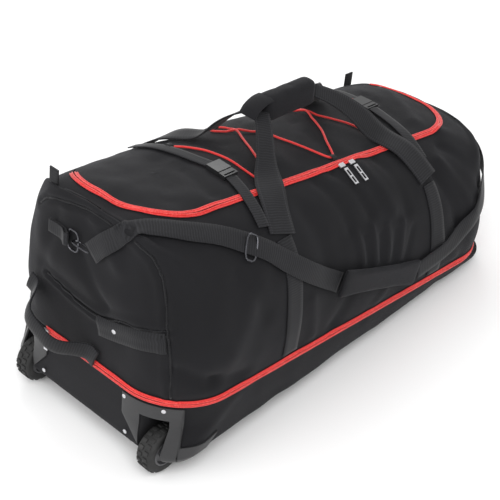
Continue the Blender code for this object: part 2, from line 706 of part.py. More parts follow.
# ------------------------------------------------------------------ compression straps
def build_compression(name, rear, buckle, front, fold_pivot):
    """A strap over the lid: its sewn half and buckle socket, and the half that pulls away."""
    bx, by = buckle
    socket = (0.032, 0.030, 0.0085)
    upper = over_bag(rear[0], rear[1], bx, by + 0.0165, 0.0030)
    ribbon(f"strap_{name}_sewn", across(upper, (1, 0, 0), WEB_SLIM), "webbing", WEB_THICK,
           LID_PIVOT)
    leaning_box(f"buckle_{name}_socket", socket, (bx, by, 0.0022), "buckle_plastic", LID_PIVOT,
                0.0, [((0, -0.004, 0.00425), (0.0245, 0.025, 0.0050))])
    plug_y = by - 0.0235
    plug = leaning_box(f"buckle_{name}_plug", (0.032, 0.015, 0.0075), (bx, plug_y, 0.0026),
                       "buckle_plastic", fold_pivot, 0.0,
                       [((0, -0.0030, 0.003), (0.0255, 0.0035, 0.02))])
    prong = leaning_box(f"buckle_{name}_prong", (0.0205, 0.024, 0.0034), (bx, plug_y + 0.0145, 0.0046),
                        "buckle_plastic")
    prong.hide_render = True
    prong.display_type = "WIRE"
    PARTS.objects.unlink(prong)
    CUTTERS.objects.link(prong)
    boolean(plug, prong, "UNION")
    lower = over_bag(bx, plug_y - 0.0090, front[0], front[1], 0.0055)
    ribbon(f"strap_{name}_pull", across(lower, (1, 0, 0), WEB_SLIM), "webbing", WEB_THICK,
           fold_pivot)


# ------------------------------------------------------------------ shoulder strap
# Places the strap runs through, as (x, y, z, way across it, lift off the fabric).
STRAP_WHEEL_SIDE = (
    (-0.4550, -0.018, 0.391, (0, 0.15, 1), 0.0090),
    (-0.4550, -0.045, 0.404, (0, 0.30, 1), 0.0090),
    (-0.4480, -0.080, 0.430, (-0.2, 0.5, 0.9), 0.0115),
    (-0.4200, -0.112, 0.456, (-0.4, 0.6, 0.6), 0.0115),
    (-0.3820, -0.142, 0.448, (-0.3, 0.8, 0.45), 0.0100),
    (-0.3180, -0.163, 0.432, (-0.1, 0.75, 0.6), 0.0085),
    (-0.2610, -0.185, 0.408, (0.1, 0.6, 0.75), 0.0085),
    (-0.1860, -0.210, 0.357, (0.3, 0.35, 0.85), 0.0090),
    (-0.1200, -0.226, 0.312, (0.3, 0.12, 0.95), 0.0090),
    (-0.0720, -0.232, 0.283, (0.25, 0.03, 1.0), 0.0090),
)
STRAP_FAR_SIDE = (
    (0.1800, -0.235, 0.211, (-0.2, 0, 1), 0.0090),
    (0.2400, -0.235, 0.222, (-0.25, 0, 1), 0.0100),
    (0.3100, -0.235, 0.249, (-0.3, 0, 1), 0.0080),
    (0.3700, -0.226, 0.280, (-0.3, -0.1, 1), 0.0070),
    (0.4250, -0.185, 0.310, (-0.2, -0.1, 1), 0.0070),
    (0.4550, -0.125, 0.332, (0, -0.2, 1), 0.0080),
    (0.4600, -0.075, 0.346, (0, -0.2, 1), 0.0090),
    (0.4600, -0.040, 0.352, (0, -0.1, 1), 0.0090),
)
PAD_START = Vector((-0.066, -0.2372, 0.281))
PAD_END = Vector((0.164, -0.2372, 0.210))
PAD_WIDTH = 0.058
PAD_THICK = 0.009
D_RINGS = (("wheel_end", -1, 0.030, 0.390), ("far_end", 1, 0.008, 0.352))


def skin():
    """The outside of the closed bag, for laying straps on."""
    rings = [*BASE_RINGS, *SHELL_RINGS, *(lid_ring(inset) for inset in LID_INSETS)]
    bm = bmesh.new()
    bm.from_mesh(loft("skin", [ring_points(r) for r in rings], cap_first=True, cap_last=True))
    tree = BVHTree.FromBMesh(bm)
    bm.free()
    return tree


def laid(tree, place, lift):
    """The place moved to stand lift off the bag's skin."""
    near, normal, _, _ = tree.find_nearest(place)
    return near + normal * lift, normal


def strap_rows(tree, places, width):
    """Rows of three points across a strap that lies on the skin."""
    knots = [Vector(p[:3]) for p in places]
    rows = []
    for point in smooth_path(knots, 0.020):
        near = sorted(range(len(knots)), key=lambda i: (knots[i] - point).length)[:2]
        far, close = ((knots[i] - point).length for i in reversed(near))
        part = close / (far + close)
        way = Vector(places[near[0]][3]).normalized().lerp(
            Vector(places[near[1]][3]).normalized(), part)
        lift = places[near[0]][4] * (1 - part) + places[near[1]][4] * part
        middle, normal = laid(tree, point, lift)
        way = (way - normal * way.dot(normal)).normalized() * width / 2
        rows.append([laid(tree, middle - way, lift)[0], middle, laid(tree, middle + way, lift)[0]])
    return rows


def link(name, places, radius, finish, parent=None):
    """A closed ring of wire through places."""
    curve = bpy.data.curves.new(name, "CURVE")
    curve.dimensions = "3D"
    curve.bevel_depth = radius
    curve.bevel_resolution = 2
    spline = curve.splines.new("POLY")
    spline.points.add(len(places) - 1)
    for spot, place in zip(spline.points, places):
        spot.co = (*place, 1.0)
    spline.use_cyclic_u = True
    return add_object(name, curve, finish, parent)


def oval(centre, first, second, a, b, steps=14):
    """Points round a squarish oval that spans +-a along first and +-b along second."""
    centre, first, second = Vector(centre), Vector(first), Vector(second)
    points = []
    for step in range(steps):
        turn = math.tau * step / steps
        c, s = math.cos(turn), math.sin(turn)
        points.append(centre + first * a * math.copysign(abs(c) ** 0.6, c)
                      + second * b * math.copysign(abs(s) ** 0.6, s))
    return points


def build_shoulder_strap():
    tree = skin()
    ribbon("shoulder_strap_wheel_end", strap_rows(tree, STRAP_WHEEL_SIDE, WEB), "webbing")
    ribbon("shoulder_strap_far_end", strap_rows(tree, STRAP_FAR_SIDE, WEB), "webbing")
    way = (PAD_END - PAD_START).normalized()
    up = Vector((0, -1, 0)).cross(way).normalized()
    if up.z < 0:
        up = -up
    pad = box_mesh("shoulder_pad", (0, -PAD_WIDTH / 2, 0),
                   ((PAD_END - PAD_START).length, PAD_WIDTH / 2, PAD_THICK), 0.004)
    out = Vector((0, -1, 0))
    turn = Matrix((way, up, out)).transposed().to_4x4()
    pad.transform(Matrix.Translation(PAD_START) @ turn)
    if turn.determinant() < 0:
        pad.flip_normals()
    add_object("shoulder_pad", pad, "pocket_fabric")
    spot, normal = laid(tree, Vector(STRAP_WHEEL_SIDE[6][:3]), 0.0115)
    along = (Vector(STRAP_WHEEL_SIDE[7][:3]) - Vector(STRAP_WHEEL_SIDE[5][:3])).normalized()
    along = (along - normal * along.dot(normal)).normalized()
    link("tri_glide", oval(spot, along, normal.cross(along), 0.012, 0.023), 0.0018, "nickel")
    for name, side, y, z in D_RINGS:
        face = end_x(z) if side < 0 else far_x(z)
        x = face + side * 0.0100
        link(f"d_ring_{name}", oval((x, y, z), (0, 1, 0), (0, 0, 1), 0.013, 0.020), 0.0018, "nickel")
        link(f"snap_hook_{name}", oval((x, y - 0.022, z), (0, 1, 0), (1, 0, 0), 0.0215, 0.0062),
             0.0016, "nickel")
        bar = y + 0.013
        fold = ((face + side * 0.0020, bar + 0.050), (face + side * 0.0020, bar + 0.012),
                (x - side * 0.0040, bar + 0.004), (x - side * 0.0034, bar - 0.0025),
                (x, bar - 0.0044), (x + side * 0.0034, bar - 0.0025),
                (x + side * 0.0034, bar + 0.005), (face + side * 0.0050, bar + 0.018),
                (face + side * 0.0050, bar + 0.050))
        path = [Vector((px, py, z)) for px, py in fold]
        ribbon(f"d_ring_tab_{name}", across(path, (0, 0, 1), WEB_SLIM), "webbing", 0.0016)


def build_zip_tabs():
    """Folded fabric tabs that finish the zipper's ends and stand up from the top."""
    for name, x, y in (("wheel_end", -0.4365, 0.112), ("far_end", 0.400, 0.1640)):
        low = arch(x, y)
        size = (0.0030, 0.022) if name == "wheel_end" else (0.022, 0.0030)
        add_object(f"zip_tab_{name}",
                   box_mesh(f"zip_tab_{name}", (x - size[0] / 2, y - size[1] / 2, low + 0.006),
                            (x + size[0] / 2, y + size[1] / 2, low + 0.036)), "webbing")


def main():
    build_base()
    build_zip_tape("base_zip_tape", BASE_RINGS[-1], ZIP_Z - 0.010, ZIP_Z - 0.0010)
    build_zip_tape("bag_zip_tape", SHELL_RINGS[0], ZIP_Z + 0.0010, ZIP_Z + 0.010)
    for name, side in (("front", -1), ("rear", 1)):
        build_wheel(name, side)
    build_shell()
    build_end_panel()
    grab_handle("end_handle_wheel_end", -1, 0.055, 0.212, 0.068, 0.045)
    grab_handle("end_handle_far_end", 1, 0.0, 0.255, 0.068, 0.041)
    build_lid()
    build_top_zip()
    build_side_strips()
    build_handles()
    build_grip()
    build_top_sliders()
    build_base_slider()
    build_lacing()
    build_compression("left", (-0.226, 0.148), (-0.189, -0.030), (-0.213, -0.164), LEFT_FOLD_PIVOT)
    build_compression("right", (0.290, 0.148), (0.281, 0.034), (0.246, -0.150), RIGHT_FOLD_PIVOT)
    build_shoulder_strap()
    build_zip_tabs()


clear_scene()
PARTS = new_collection("rolling_duffel_bag")
CUTTERS = new_collection("cutters")
LID_PIVOT = pivot("lid_pivot", (0.0, RIM[3], arch(0.0, RIM[3])))
FRONT_HANDLE_PIVOT = pivot("front_handle_pivot", (0.0, -0.176, arch(0.0, -0.176)))
REAR_HANDLE_PIVOT = pivot("rear_handle_pivot", (0.0, 0.186, arch(0.0, 0.186)))
LEFT_FOLD_PIVOT = pivot("strap_left_pivot", (-0.213, -0.164, arch(-0.213, -0.164)))
RIGHT_FOLD_PIVOT = pivot("strap_right_pivot", (0.246, -0.150, arch(0.246, -0.150)))
main()
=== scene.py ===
"""Look of a wheeled duffel bag, built round its fixed frame."""
import functools
import math

import bmesh
import bpy
import numpy as np
from mathutils import Matrix, Vector, noise
from mathutils.bvhtree import BVHTree


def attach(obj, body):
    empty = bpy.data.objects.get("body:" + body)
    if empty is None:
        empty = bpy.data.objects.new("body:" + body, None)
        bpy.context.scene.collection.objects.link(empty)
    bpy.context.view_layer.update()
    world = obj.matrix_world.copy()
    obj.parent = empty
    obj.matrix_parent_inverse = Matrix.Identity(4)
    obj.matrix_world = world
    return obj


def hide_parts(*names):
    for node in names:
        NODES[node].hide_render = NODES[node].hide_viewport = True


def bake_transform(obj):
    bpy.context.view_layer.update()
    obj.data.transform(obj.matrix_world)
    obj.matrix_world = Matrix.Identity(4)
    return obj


bl_info = {
    "name": "Wheeled duffel bag",
    "version": (1, 0, 0),
    "blender": (4, 5, 0),
    "location": "3D View > Sidebar > Duffel",
    "description": "Builds the fabric, zippers, straps and fittings of a wheeled duffel bag",
    "category": "Object",
}

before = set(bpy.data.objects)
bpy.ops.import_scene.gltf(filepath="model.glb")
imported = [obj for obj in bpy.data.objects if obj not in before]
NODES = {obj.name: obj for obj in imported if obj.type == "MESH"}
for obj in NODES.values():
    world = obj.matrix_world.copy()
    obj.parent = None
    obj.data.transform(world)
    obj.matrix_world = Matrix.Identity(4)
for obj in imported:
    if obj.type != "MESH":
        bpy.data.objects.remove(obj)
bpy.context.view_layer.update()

# ------------------------------------------------------------------ shape of the bag
ZIP_Z = 0.163
TOP_Z = 0.44
TILT = 0.095
WIDTH = 0.46
SIDE_POWER = 2.9
END_POWER = 10.0
ARCH_HALF_LENGTH = 0.470
FLOOR_GAP = 0.035
BASE_RISE = 0.125
STAND = Matrix.Translation((-0.0321, 0.0, -0.05703)) @ Matrix.Rotation(math.radians(7.9), 4, "Y")
WHEEL_X, WHEEL_Y, WHEEL_RADIUS = -0.418, 0.165, 0.044
WELL_HALF_WIDTH, WELL_TOP, WELL_BACK = 0.024, 0.122, -0.366
GUARD_REACH, GUARD_INNER_Y = -0.310, 0.098     # how far a wheel housing wraps the base
CLOTH_THICKNESS = 0.0030
SEAM_RADIUS = 0.0017
STRIP_X = (("left", -0.178), ("right", 0.232))  # where the side strips are sewn down
PAD_THICKNESS, PAD_HALF_WIDTH, PAD_MARGIN = 0.0085, 0.027, 0.003


def crown(x):
    """Height of the middle line of the top, which falls away from the wheels."""
    return TOP_Z - TILT * x


def arch(x, y):
    """Height of the arched top."""
    side = max(0.0, 1 - (abs(y) * 2 / WIDTH) ** SIDE_POWER) ** (1 / SIDE_POWER)
    end = max(0.0, 1 - (abs(x) / ARCH_HALF_LENGTH) ** END_POWER) ** (1 / END_POWER)
    return ZIP_Z + (crown(x) - ZIP_Z) * side * end


def level(z):
    return lambda x, y: z


def underside(x):
    """Height of the underside, which closes on the zipper away from the wheels."""
    return FLOOR_GAP + BASE_RISE * (x - WHEEL_X)


def base_share(part):
    return lambda x, y: underside(x) + (ZIP_Z - 0.002 - underside(x)) * part


def share(part):
    return lambda x, y: ZIP_Z + (crown(x) - ZIP_Z) * part


# A ring is low x, high x, low y, high y, corner radius and the rule for its height.
BASE_RINGS = (
    (-0.240, 0.250, -0.010, 0.010, 0.009, base_share(0.0)),
    (-0.330, 0.340, -0.105, 0.105, 0.020, base_share(0.0)),
    (-0.424, 0.434, -0.201, 0.201, 0.048, base_share(0.0)),
    (-0.438, 0.444, -0.214, 0.214, 0.054, base_share(0.03)),
    (-0.446, 0.449, -0.222, 0.222, 0.064, base_share(0.12)),
    (-0.450, 0.451, -0.227, 0.227, 0.118, base_share(0.56)),
    (-0.452, 0.452, -0.230, 0.230, 0.120, base_share(1.0)),
)
SHELL_RINGS = (
    (-0.452, 0.452, -0.230, 0.230, 0.120, level(ZIP_Z + 0.001)),
    (-0.456, 0.458, -0.233, 0.232, 0.120, share(0.22)),
    (-0.455, 0.460, -0.221, 0.221, 0.120, share(0.50)),
    (-0.448, 0.455, -0.203, 0.203, 0.118, arch),
    (-0.440, 0.448, -0.174, 0.186, 0.118, arch),
    (-0.430, 0.440, -0.142, 0.171, 0.115, arch),
    (-0.416, 0.430, -0.108, 0.158, 0.110, arch),
)
LID_EDGE = (-0.4145, 0.4285, -0.1068, 0.1545, 0.108)
LID_HALF = 0.13060
# Shares of the way round a ring: half a long side, a corner, a short side, and so on.
ROUND = (("long", 0.131), ("arc", 0.075), ("short", 0.088), ("arc", 0.075), ("long", 0.262),
         ("arc", 0.075), ("short", 0.088), ("arc", 0.075), ("long", 0.131))


def ring_at(ring, u):
    """A place on a rounded rectangle: u runs from the middle of the rear, past the wheel end."""
    x0, x1, y0, y1, radius = ring[:5]
    middle = (x0 + x1) / 2
    ends = (
        ((middle, y1), (x0 + radius, y1)), ((x0 + radius, y1 - radius), 90),
        ((x0, y1 - radius), (x0, y0 + radius)), ((x0 + radius, y0 + radius), 180),
        ((x0 + radius, y0), (x1 - radius, y0)), ((x1 - radius, y0 + radius), 270),
        ((x1, y0 + radius), (x1, y1 - radius)), ((x1 - radius, y1 - radius), 0),
        ((x1 - radius, y1), (middle, y1)),
    )
    u %= 1.0
    for (kind, part), (a, b) in zip(ROUND, ends):
        if u <= part:
            t = u / part
            if kind == "arc":
                turn = math.radians(b + 90 * t)
                return a[0] + radius * math.cos(turn), a[1] + radius * math.sin(turn)
            return a[0] + (b[0] - a[0]) * t, a[1] + (b[1] - a[1]) * t
        u -= part
    return ends[0][0]


def ring_point(ring, u):
    x, y = ring_at(ring, u)
    return Vector((x, y, ring[5](x, y)))


def curve_through(points, t):
    """A place on a Catmull-Rom curve, t from 0 to 1 over the points."""
    spans = len(points) - 1
    index = min(int(t * spans), spans - 1)
    t = t * spans - index
    b, c = points[index], points[index + 1]
    a = points[index - 1] if index else b * 2 - c
    d = points[index + 2] if index + 2 <= spans else c * 2 - b
    return 0.5 * (b * 2 + (c - a) * t + (a * 2 - b * 5 + c * 4 - d) * t * t
                  + (b * 3 - a - c * 3 + d) * t ** 3)


@functools.lru_cache(maxsize=4096)
def shell_column(u):
    return [ring_point(ring, u) for ring in SHELL_RINGS]


@functools.lru_cache(maxsize=4096)
def base_column(u):
    return [ring_point(ring, u) for ring in BASE_RINGS]


def shell_at(u, v):
    return curve_through(shell_column(u), v)


def base_at(u, v):
    column = base_column(u)
    index = min(int(v * (len(column) - 1)), len(column) - 2)
    return column[index].lerp(column[index + 1], v * (len(column) - 1) - index)


def base_at_height(u, z):
    """The base's surface at a height, off its flat underside."""
    column = base_column(u)[2:]
    for low, high in zip(column, column[1:]):
        if z <= high.z or high is column[-1]:
            part = min(1.0, max(0.0, (z - low.z) / (high.z - low.z)))
            return low.lerp(high, part)


def lid_at(u, v):
    inset = LID_HALF * v
    x0, x1, y0, y1, radius = LID_EDGE
    ring = (x0 + inset, x1 - inset, y0 + inset, y1 - inset, max(0.0002, radius - inset * 0.82))
    x, y = ring_at(ring, u)
    return Vector((x, y, arch(x, y)))


# ------------------------------------------------------------------ mesh helpers
def grid(us, vs, place):
    """A sheet whose places come from place(u, v), with u and v taken from the two lists."""
    bm = bmesh.new()
    bm.loops.layers.uv.new("along")
    bmesh.ops.create_grid(bm, x_segments=len(us) - 1, y_segments=len(vs) - 1, size=1.0,
                          calc_uvs=True)
    uv = bm.loops.layers.uv.active
    reach = max(v.co.x for v in bm.verts)
    low = -reach
    column = {}
    for vert in bm.verts:
        i = round((vert.co.x - low) / (2 * reach) * (len(us) - 1))
        j = round((vert.co.y - low) / (2 * reach) * (len(vs) - 1))
        column[vert] = (us[i], vs[j])
    for face in bm.faces:
        for loop in face.loops:
            loop[uv].uv = column[loop.vert]
    for vert in bm.verts:
        vert.co = place(*column[vert])
    return bm


def spread(low, high, count):
    return [low + (high - low) * i / (count - 1) for i in range(count)]


def merge(bm, distance=1e-5):
    bmesh.ops.remove_doubles(bm, verts=bm.verts, dist=distance)


def finish_mesh(name, bm, material, body, slot, replaces=(), smooth=True, outward=None):
    """Turns a bmesh into a piece that rides on a body."""
    if outward:
        bm.normal_update()
        facing = sum(f.normal.dot(f.calc_center_median() - Vector(outward)) for f in bm.faces)
        if facing < 0:
            bmesh.ops.reverse_faces(bm, faces=bm.faces)
    mesh = bpy.data.meshes.new(name)
    bm.to_mesh(mesh)
    bm.free()
    mesh.transform(STAND)
    if smooth:
        for polygon in mesh.polygons:
            polygon.use_smooth = True
    mesh.materials.append(bpy.data.materials[material])
    obj = bpy.data.objects.new(name, mesh)
    bpy.context.scene.collection.objects.link(obj)
    if body:
        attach(obj, body)
    if replaces:
        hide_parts(*replaces)
    return obj


def thicken(obj, thickness, offset=-1.0):
    modifier = obj.modifiers.new("thickness", "SOLIDIFY")
    modifier.thickness = thickness
    modifier.offset = offset
    return modifier


def soften(obj, width, segments=2):
    modifier = obj.modifiers.new("softened edge", "BEVEL")
    modifier.width = width
    modifier.segments = segments
    modifier.limit_method = "ANGLE"
    modifier.angle_limit = math.radians(50)
    return modifier


def smooth_path(points, spacing):
    """Evenly spaced places on a smooth curve through the given ones."""
    points = [Vector(p) for p in points]
    fine = [curve_through(points, i / (20 * (len(points) - 1)))
            for i in range(20 * (len(points) - 1) + 1)]
    total = sum((b - a).length for a, b in zip(fine, fine[1:]))
    count = max(2, round(total / spacing))
    out, run, index = [fine[0]], 0.0, 0
    for step in range(1, count):
        goal = total * step / count
        while run + (fine[index + 1] - fine[index]).length < goal:
            run += (fine[index + 1] - fine[index]).length
            index += 1
        piece = (fine[index + 1] - fine[index]).length
        out.append(fine[index].lerp(fine[index + 1], (goal - run) / piece))
    return out + [fine[-1]]


def tangents(points):
    last = len(points) - 1
    return [(points[min(i + 1, last)] - points[max(i - 1, 0)]).normalized()
            for i in range(len(points))]


def box(bm, low, high, bevel=0.0, segments=3, matrix=None):
    """Adds a box with rounded edges."""
    made = bmesh.ops.create_cube(bm, size=1.0)["verts"]
    low, high = Vector(low), Vector(high)
    bmesh.ops.scale(bm, vec=high - low, verts=made)
    bmesh.ops.translate(bm, vec=(low + high) / 2, verts=made)
    if bevel:
        edges = list({e for v in made for e in v.link_edges})
        made = bmesh.ops.bevel(bm, geom=edges, offset=bevel, segments=segments, profile=0.5,
                               affect="EDGES", material=-1)["verts"]
        made = list({v for m in made for f in m.link_faces for v in f.verts})
    if matrix:
        bmesh.ops.transform(bm, matrix=matrix, verts=made)
    return made


def rod(bm, start, end, radius, sides=24, bevel=0.0):
    start, end = Vector(start), Vector(end)
    made = bmesh.ops.create_cone(bm, cap_ends=True, segments=sides, radius1=radius,
                                 radius2=radius, depth=(end - start).length)["verts"]
    if bevel:
        rims = [e for v in made for e in v.link_edges
                if abs(e.verts[0].co.z - e.verts[1].co.z) < 1e-7]
        out = bmesh.ops.bevel(bm, geom=list(set(rims)), offset=bevel, segments=2, profile=0.5,
                              affect="EDGES", material=-1)["verts"]
        made = list({v for m in out for f in m.link_faces for v in f.verts})
    turn = (end - start).to_track_quat("Z", "Y").to_matrix()
    bmesh.ops.rotate(bm, cent=(0, 0, 0), matrix=turn, verts=made)
    bmesh.ops.translate(bm, vec=(start + end) / 2, verts=made)
    return made


def lengths_along(points):
    """How far along the way each place is."""
    run = [0.0]
    for a, b in zip(points, points[1:]):
        run.append(run[-1] + (b - a).length)
    return run


def numbered(values):
    return {value: i for i, value in enumerate(values)}


def tube(points, radius, sides):
    """A round cord along points, closed at its ends."""
    ways = tangents(points)
    side = ways[0].orthogonal().normalized()
    frames = []
    for way in ways:
        side = (side - way * side.dot(way)).normalized()
        frames.append((side, way.cross(side)))
    run = lengths_along(points)
    index = numbered(run)

    def place(u, v):
        a, b = frames[index[u]]
        turn = v * math.tau
        return points[index[u]] + (a * math.cos(turn) + b * math.sin(turn)) * radius

    bm = grid(run, spread(0.0, 1.0, sides + 1), place)
    merge(bm, 1e-6)
    bmesh.ops.holes_fill(bm, edges=[e for e in bm.edges if e.is_boundary], sides=0)
    bmesh.ops.recalc_face_normals(bm, faces=bm.faces)
    return bm


def skin_tree(*sheets):
    """The surface of one or more sheets, for other pieces to lie on."""
    joined = bmesh.new()
    for sheet in sheets:
        mesh = bpy.data.meshes.new("skin")
        sheet.to_mesh(mesh)
        joined.from_mesh(mesh)
        bpy.data.meshes.remove(mesh)
    tree = BVHTree.FromBMesh(joined)
    joined.free()
    return tree


def laid(tree, place, lift):
    near, normal, _, _ = tree.find_nearest(place)
    return near + normal * lift, normal


def dropped(tree, x, y, lift=0.0):
    """The place straight down on the bag's top at x, y."""
    near, normal, _, _ = tree.ray_cast(Vector((x, y, 1.0)), Vector((0, 0, -1)))
    return near + normal * lift


def strap(tree, path, width, lift=0.0012, snap=True, spacing=0.007, columns=5,
          across=None, widths=None):
    """Flat webbing along a path, lying on the bag where it meets it.

    across gives the way across it, as one vector for every place of the path. widths scales its
    width along the way, as numbers for the path's own places.
    """
    middle = smooth_path(path, spacing)
    knots = [Vector(p) for p in path]
    if snap:
        middle = [laid(tree, p, lift)[0] for p in middle]
    ways = tangents(middle)
    count = len(middle)

    def blend(values, i):
        t = i / (count - 1) * (len(knots) - 1)
        k = min(int(t), len(knots) - 2)
        return values[k] * (1 - (t - k)) + values[k + 1] * (t - k)

    rows = []
    for i, (place, way) in enumerate(zip(middle, ways)):
        _, normal, _, _ = tree.find_nearest(place)
        if across:
            side = blend([Vector(a).normalized() for a in across], i)
            side = (side - way * side.dot(way)).normalized()
        else:
            side = way.cross(normal).normalized()
        wide = width * (blend(widths, i) if widths else 1.0)
        row = []
        for j in range(columns):
            spot = place + side * wide * (j / (columns - 1) - 0.5)
            near, out, _, _ = tree.find_nearest(spot)
            height = (spot - near).dot(out)
            if snap or height < lift:
                spot = near + out * lift
            row.append(spot)
        rows.append(row)
    for _ in range(10):
        rows = [rows[0]] + [[(a + b * 2 + c) / 4 for a, b, c in zip(*three)]
                            for three in zip(rows, rows[1:], rows[2:])] + [rows[-1]]
    for row in rows:
        for j, spot in enumerate(row):
            near, out, _, _ = tree.find_nearest(spot)
            if (spot - near).dot(out) < lift * 0.75:
                row[j] = near + out * lift * 0.75
    run, offsets = lengths_along(middle), spread(0.0, width, columns)
    row_of, column_of = numbered(run), numbered(offsets)
    return grid(run, offsets, lambda u, v: rows[row_of[u]][column_of[v]])


# ------------------------------------------------------------------ folds and seams of the fabric
def segment_distance(points, a, b):
    a, b = np.array(a), np.array(b)
    along = np.clip((points - a) @ (b - a) / max(1e-12, float((b - a) @ (b - a))), 0.0, 1.0)
    return np.linalg.norm(points - (a + along[:, None] * (b - a)), axis=1)


def line_distance(points, line):
    return np.min([segment_distance(points, a, b) for a, b in zip(line, line[1:])], axis=0)


# Each fold is two ends, its width and how far it stands out (less than zero for a valley).
SHELL_FOLDS = (
    ((0.010, -0.226, 0.285), (0.000, -0.205, 0.345), 0.007, 0.0030),
    ((0.028, -0.228, 0.280), (0.022, -0.210, 0.330), 0.006, -0.0026),
    ((0.046, -0.228, 0.275), (0.044, -0.206, 0.340), 0.007, 0.0032),
    ((0.064, -0.229, 0.272), (0.066, -0.212, 0.320), 0.006, -0.0028),
    ((0.082, -0.230, 0.268), (0.088, -0.208, 0.330), 0.007, 0.0030),
    ((0.100, -0.230, 0.262), (0.108, -0.214, 0.310), 0.006, -0.0026),
    ((0.118, -0.231, 0.258), (0.132, -0.210, 0.322), 0.007, 0.0030),
    ((0.140, -0.232, 0.250), (0.160, -0.216, 0.300), 0.007, -0.0024),
    ((-0.030, -0.125, 0.422), (-0.010, -0.198, 0.352), 0.014, -0.0036),
    ((0.020, -0.122, 0.418), (0.050, -0.190, 0.358), 0.012, -0.0040),
    ((0.090, -0.122, 0.412), (0.110, -0.195, 0.345), 0.016, 0.0038),
    ((0.140, -0.124, 0.408), (0.150, -0.200, 0.330), 0.013, -0.0036),
    ((0.262, -0.180, 0.360), (0.300, -0.226, 0.260), 0.014, -0.0045),
    ((0.290, -0.160, 0.375), (0.345, -0.222, 0.270), 0.012, 0.0042),
    ((0.320, -0.140, 0.385), (0.395, -0.200, 0.300), 0.013, -0.0045),
    ((0.350, -0.110, 0.392), (0.440, -0.120, 0.320), 0.014, 0.0038),
    ((0.240, -0.226, 0.250), (0.300, -0.231, 0.190), 0.013, 0.0032),
    ((-0.105, -0.160, 0.402), (-0.090, -0.222, 0.300), 0.022, -0.0034),
    ((-0.240, -0.190, 0.380), (-0.330, -0.228, 0.250), 0.026, 0.0040),
    ((-0.424, -0.194, 0.236), (-0.366, -0.229, 0.205), 0.014, -0.0060),
    ((-0.366, -0.229, 0.205), (-0.300, -0.231, 0.190), 0.016, -0.0040),
    ((-0.300, -0.200, 0.375), (-0.250, -0.226, 0.290), 0.020, -0.0030),
    ((-0.010, -0.230, 0.250), (-0.060, -0.231, 0.185), 0.016, -0.0030),
    ((-0.130, -0.228, 0.270), (-0.120, -0.231, 0.190), 0.012, 0.0028),
    ((0.080, -0.231, 0.205), (0.060, -0.231, 0.180), 0.012, 0.0022),
    ((-0.452, 0.020, 0.370), (-0.456, -0.050, 0.300), 0.014, -0.0040),
    ((-0.449, 0.080, 0.420), (-0.456, 0.110, 0.300), 0.018, -0.0036),
    ((-0.446, -0.010, 0.445), (-0.452, -0.080, 0.390), 0.014, 0.0032),
    ((-0.100, 0.215, 0.300), (-0.060, 0.190, 0.380), 0.020, -0.0035),
    ((0.080, 0.225, 0.250), (0.110, 0.195, 0.360), 0.018, 0.0032),
    ((-0.320, 0.228, 0.230), (-0.280, 0.200, 0.380), 0.022, 0.0035),
    ((0.340, 0.228, 0.210), (0.300, 0.195, 0.350), 0.020, -0.0036),
    ((0.456, 0.080, 0.230), (0.452, 0.040, 0.340), 0.018, -0.0032),
)
LID_FOLDS = (
    ((-0.330, -0.060, 0.468), (-0.250, 0.060, 0.462), 0.022, -0.0048),
    ((-0.255, -0.080, 0.458), (-0.235, 0.020, 0.462), 0.014, -0.0036),
    ((-0.290, -0.085, 0.462), (-0.380, 0.010, 0.470), 0.030, 0.0030),
    ((-0.150, -0.085, 0.448), (-0.100, 0.040, 0.450), 0.020, -0.0036),
    ((-0.060, -0.060, 0.444), (0.010, 0.070, 0.438), 0.022, 0.0034),
    ((0.060, -0.080, 0.430), (0.090, 0.040, 0.432), 0.020, -0.0036),
    ((0.170, -0.070, 0.420), (0.120, 0.080, 0.424), 0.020, 0.0028),
    ((0.290, -0.070, 0.408), (0.330, 0.060, 0.404), 0.018, -0.0040),
    ((0.330, -0.060, 0.404), (0.400, 0.060, 0.390), 0.016, 0.0034),
)
BASE_FOLDS = (
    ((-0.400, -0.226, 0.070), (-0.310, -0.230, 0.145), 0.016, 0.0026),
    ((-0.250, -0.229, 0.150), (-0.180, -0.226, 0.070), 0.020, -0.0022),
    ((0.050, -0.229, 0.140), (0.120, -0.226, 0.080), 0.018, 0.0020),
    ((0.250, -0.229, 0.150), (0.320, -0.226, 0.070), 0.016, -0.0022),
)
END_SEAM = (
    (-0.440, 0.135, 0.405), (-0.445, 0.110, 0.430), (-0.448, 0.071, 0.443), (-0.446, 0.012, 0.454),
    (-0.444, -0.043, 0.455), (-0.440, -0.101, 0.449), (-0.437, -0.135, 0.433),
    (-0.431, -0.154, 0.401), (-0.430, -0.164, 0.364), (-0.431, -0.175, 0.310),
    (-0.430, -0.184, 0.254), (-0.427, -0.188, 0.191), (-0.427, -0.190, 0.174),
)
POCKET_SEAM = (
    (-0.456, 0.100, 0.286), (-0.457, 0.030, 0.270), (-0.456, -0.038, 0.268),
    (-0.455, -0.096, 0.291), (-0.448, -0.144, 0.300), (-0.431, -0.175, 0.308),
)
FAR_SEAM = (
    (0.436, 0.140, 0.330), (0.446, 0.090, 0.365), (0.450, 0.0, 0.372), (0.448, -0.080, 0.366),
    (0.440, -0.140, 0.340), (0.430, -0.180, 0.270), (0.428, -0.190, 0.176),
)


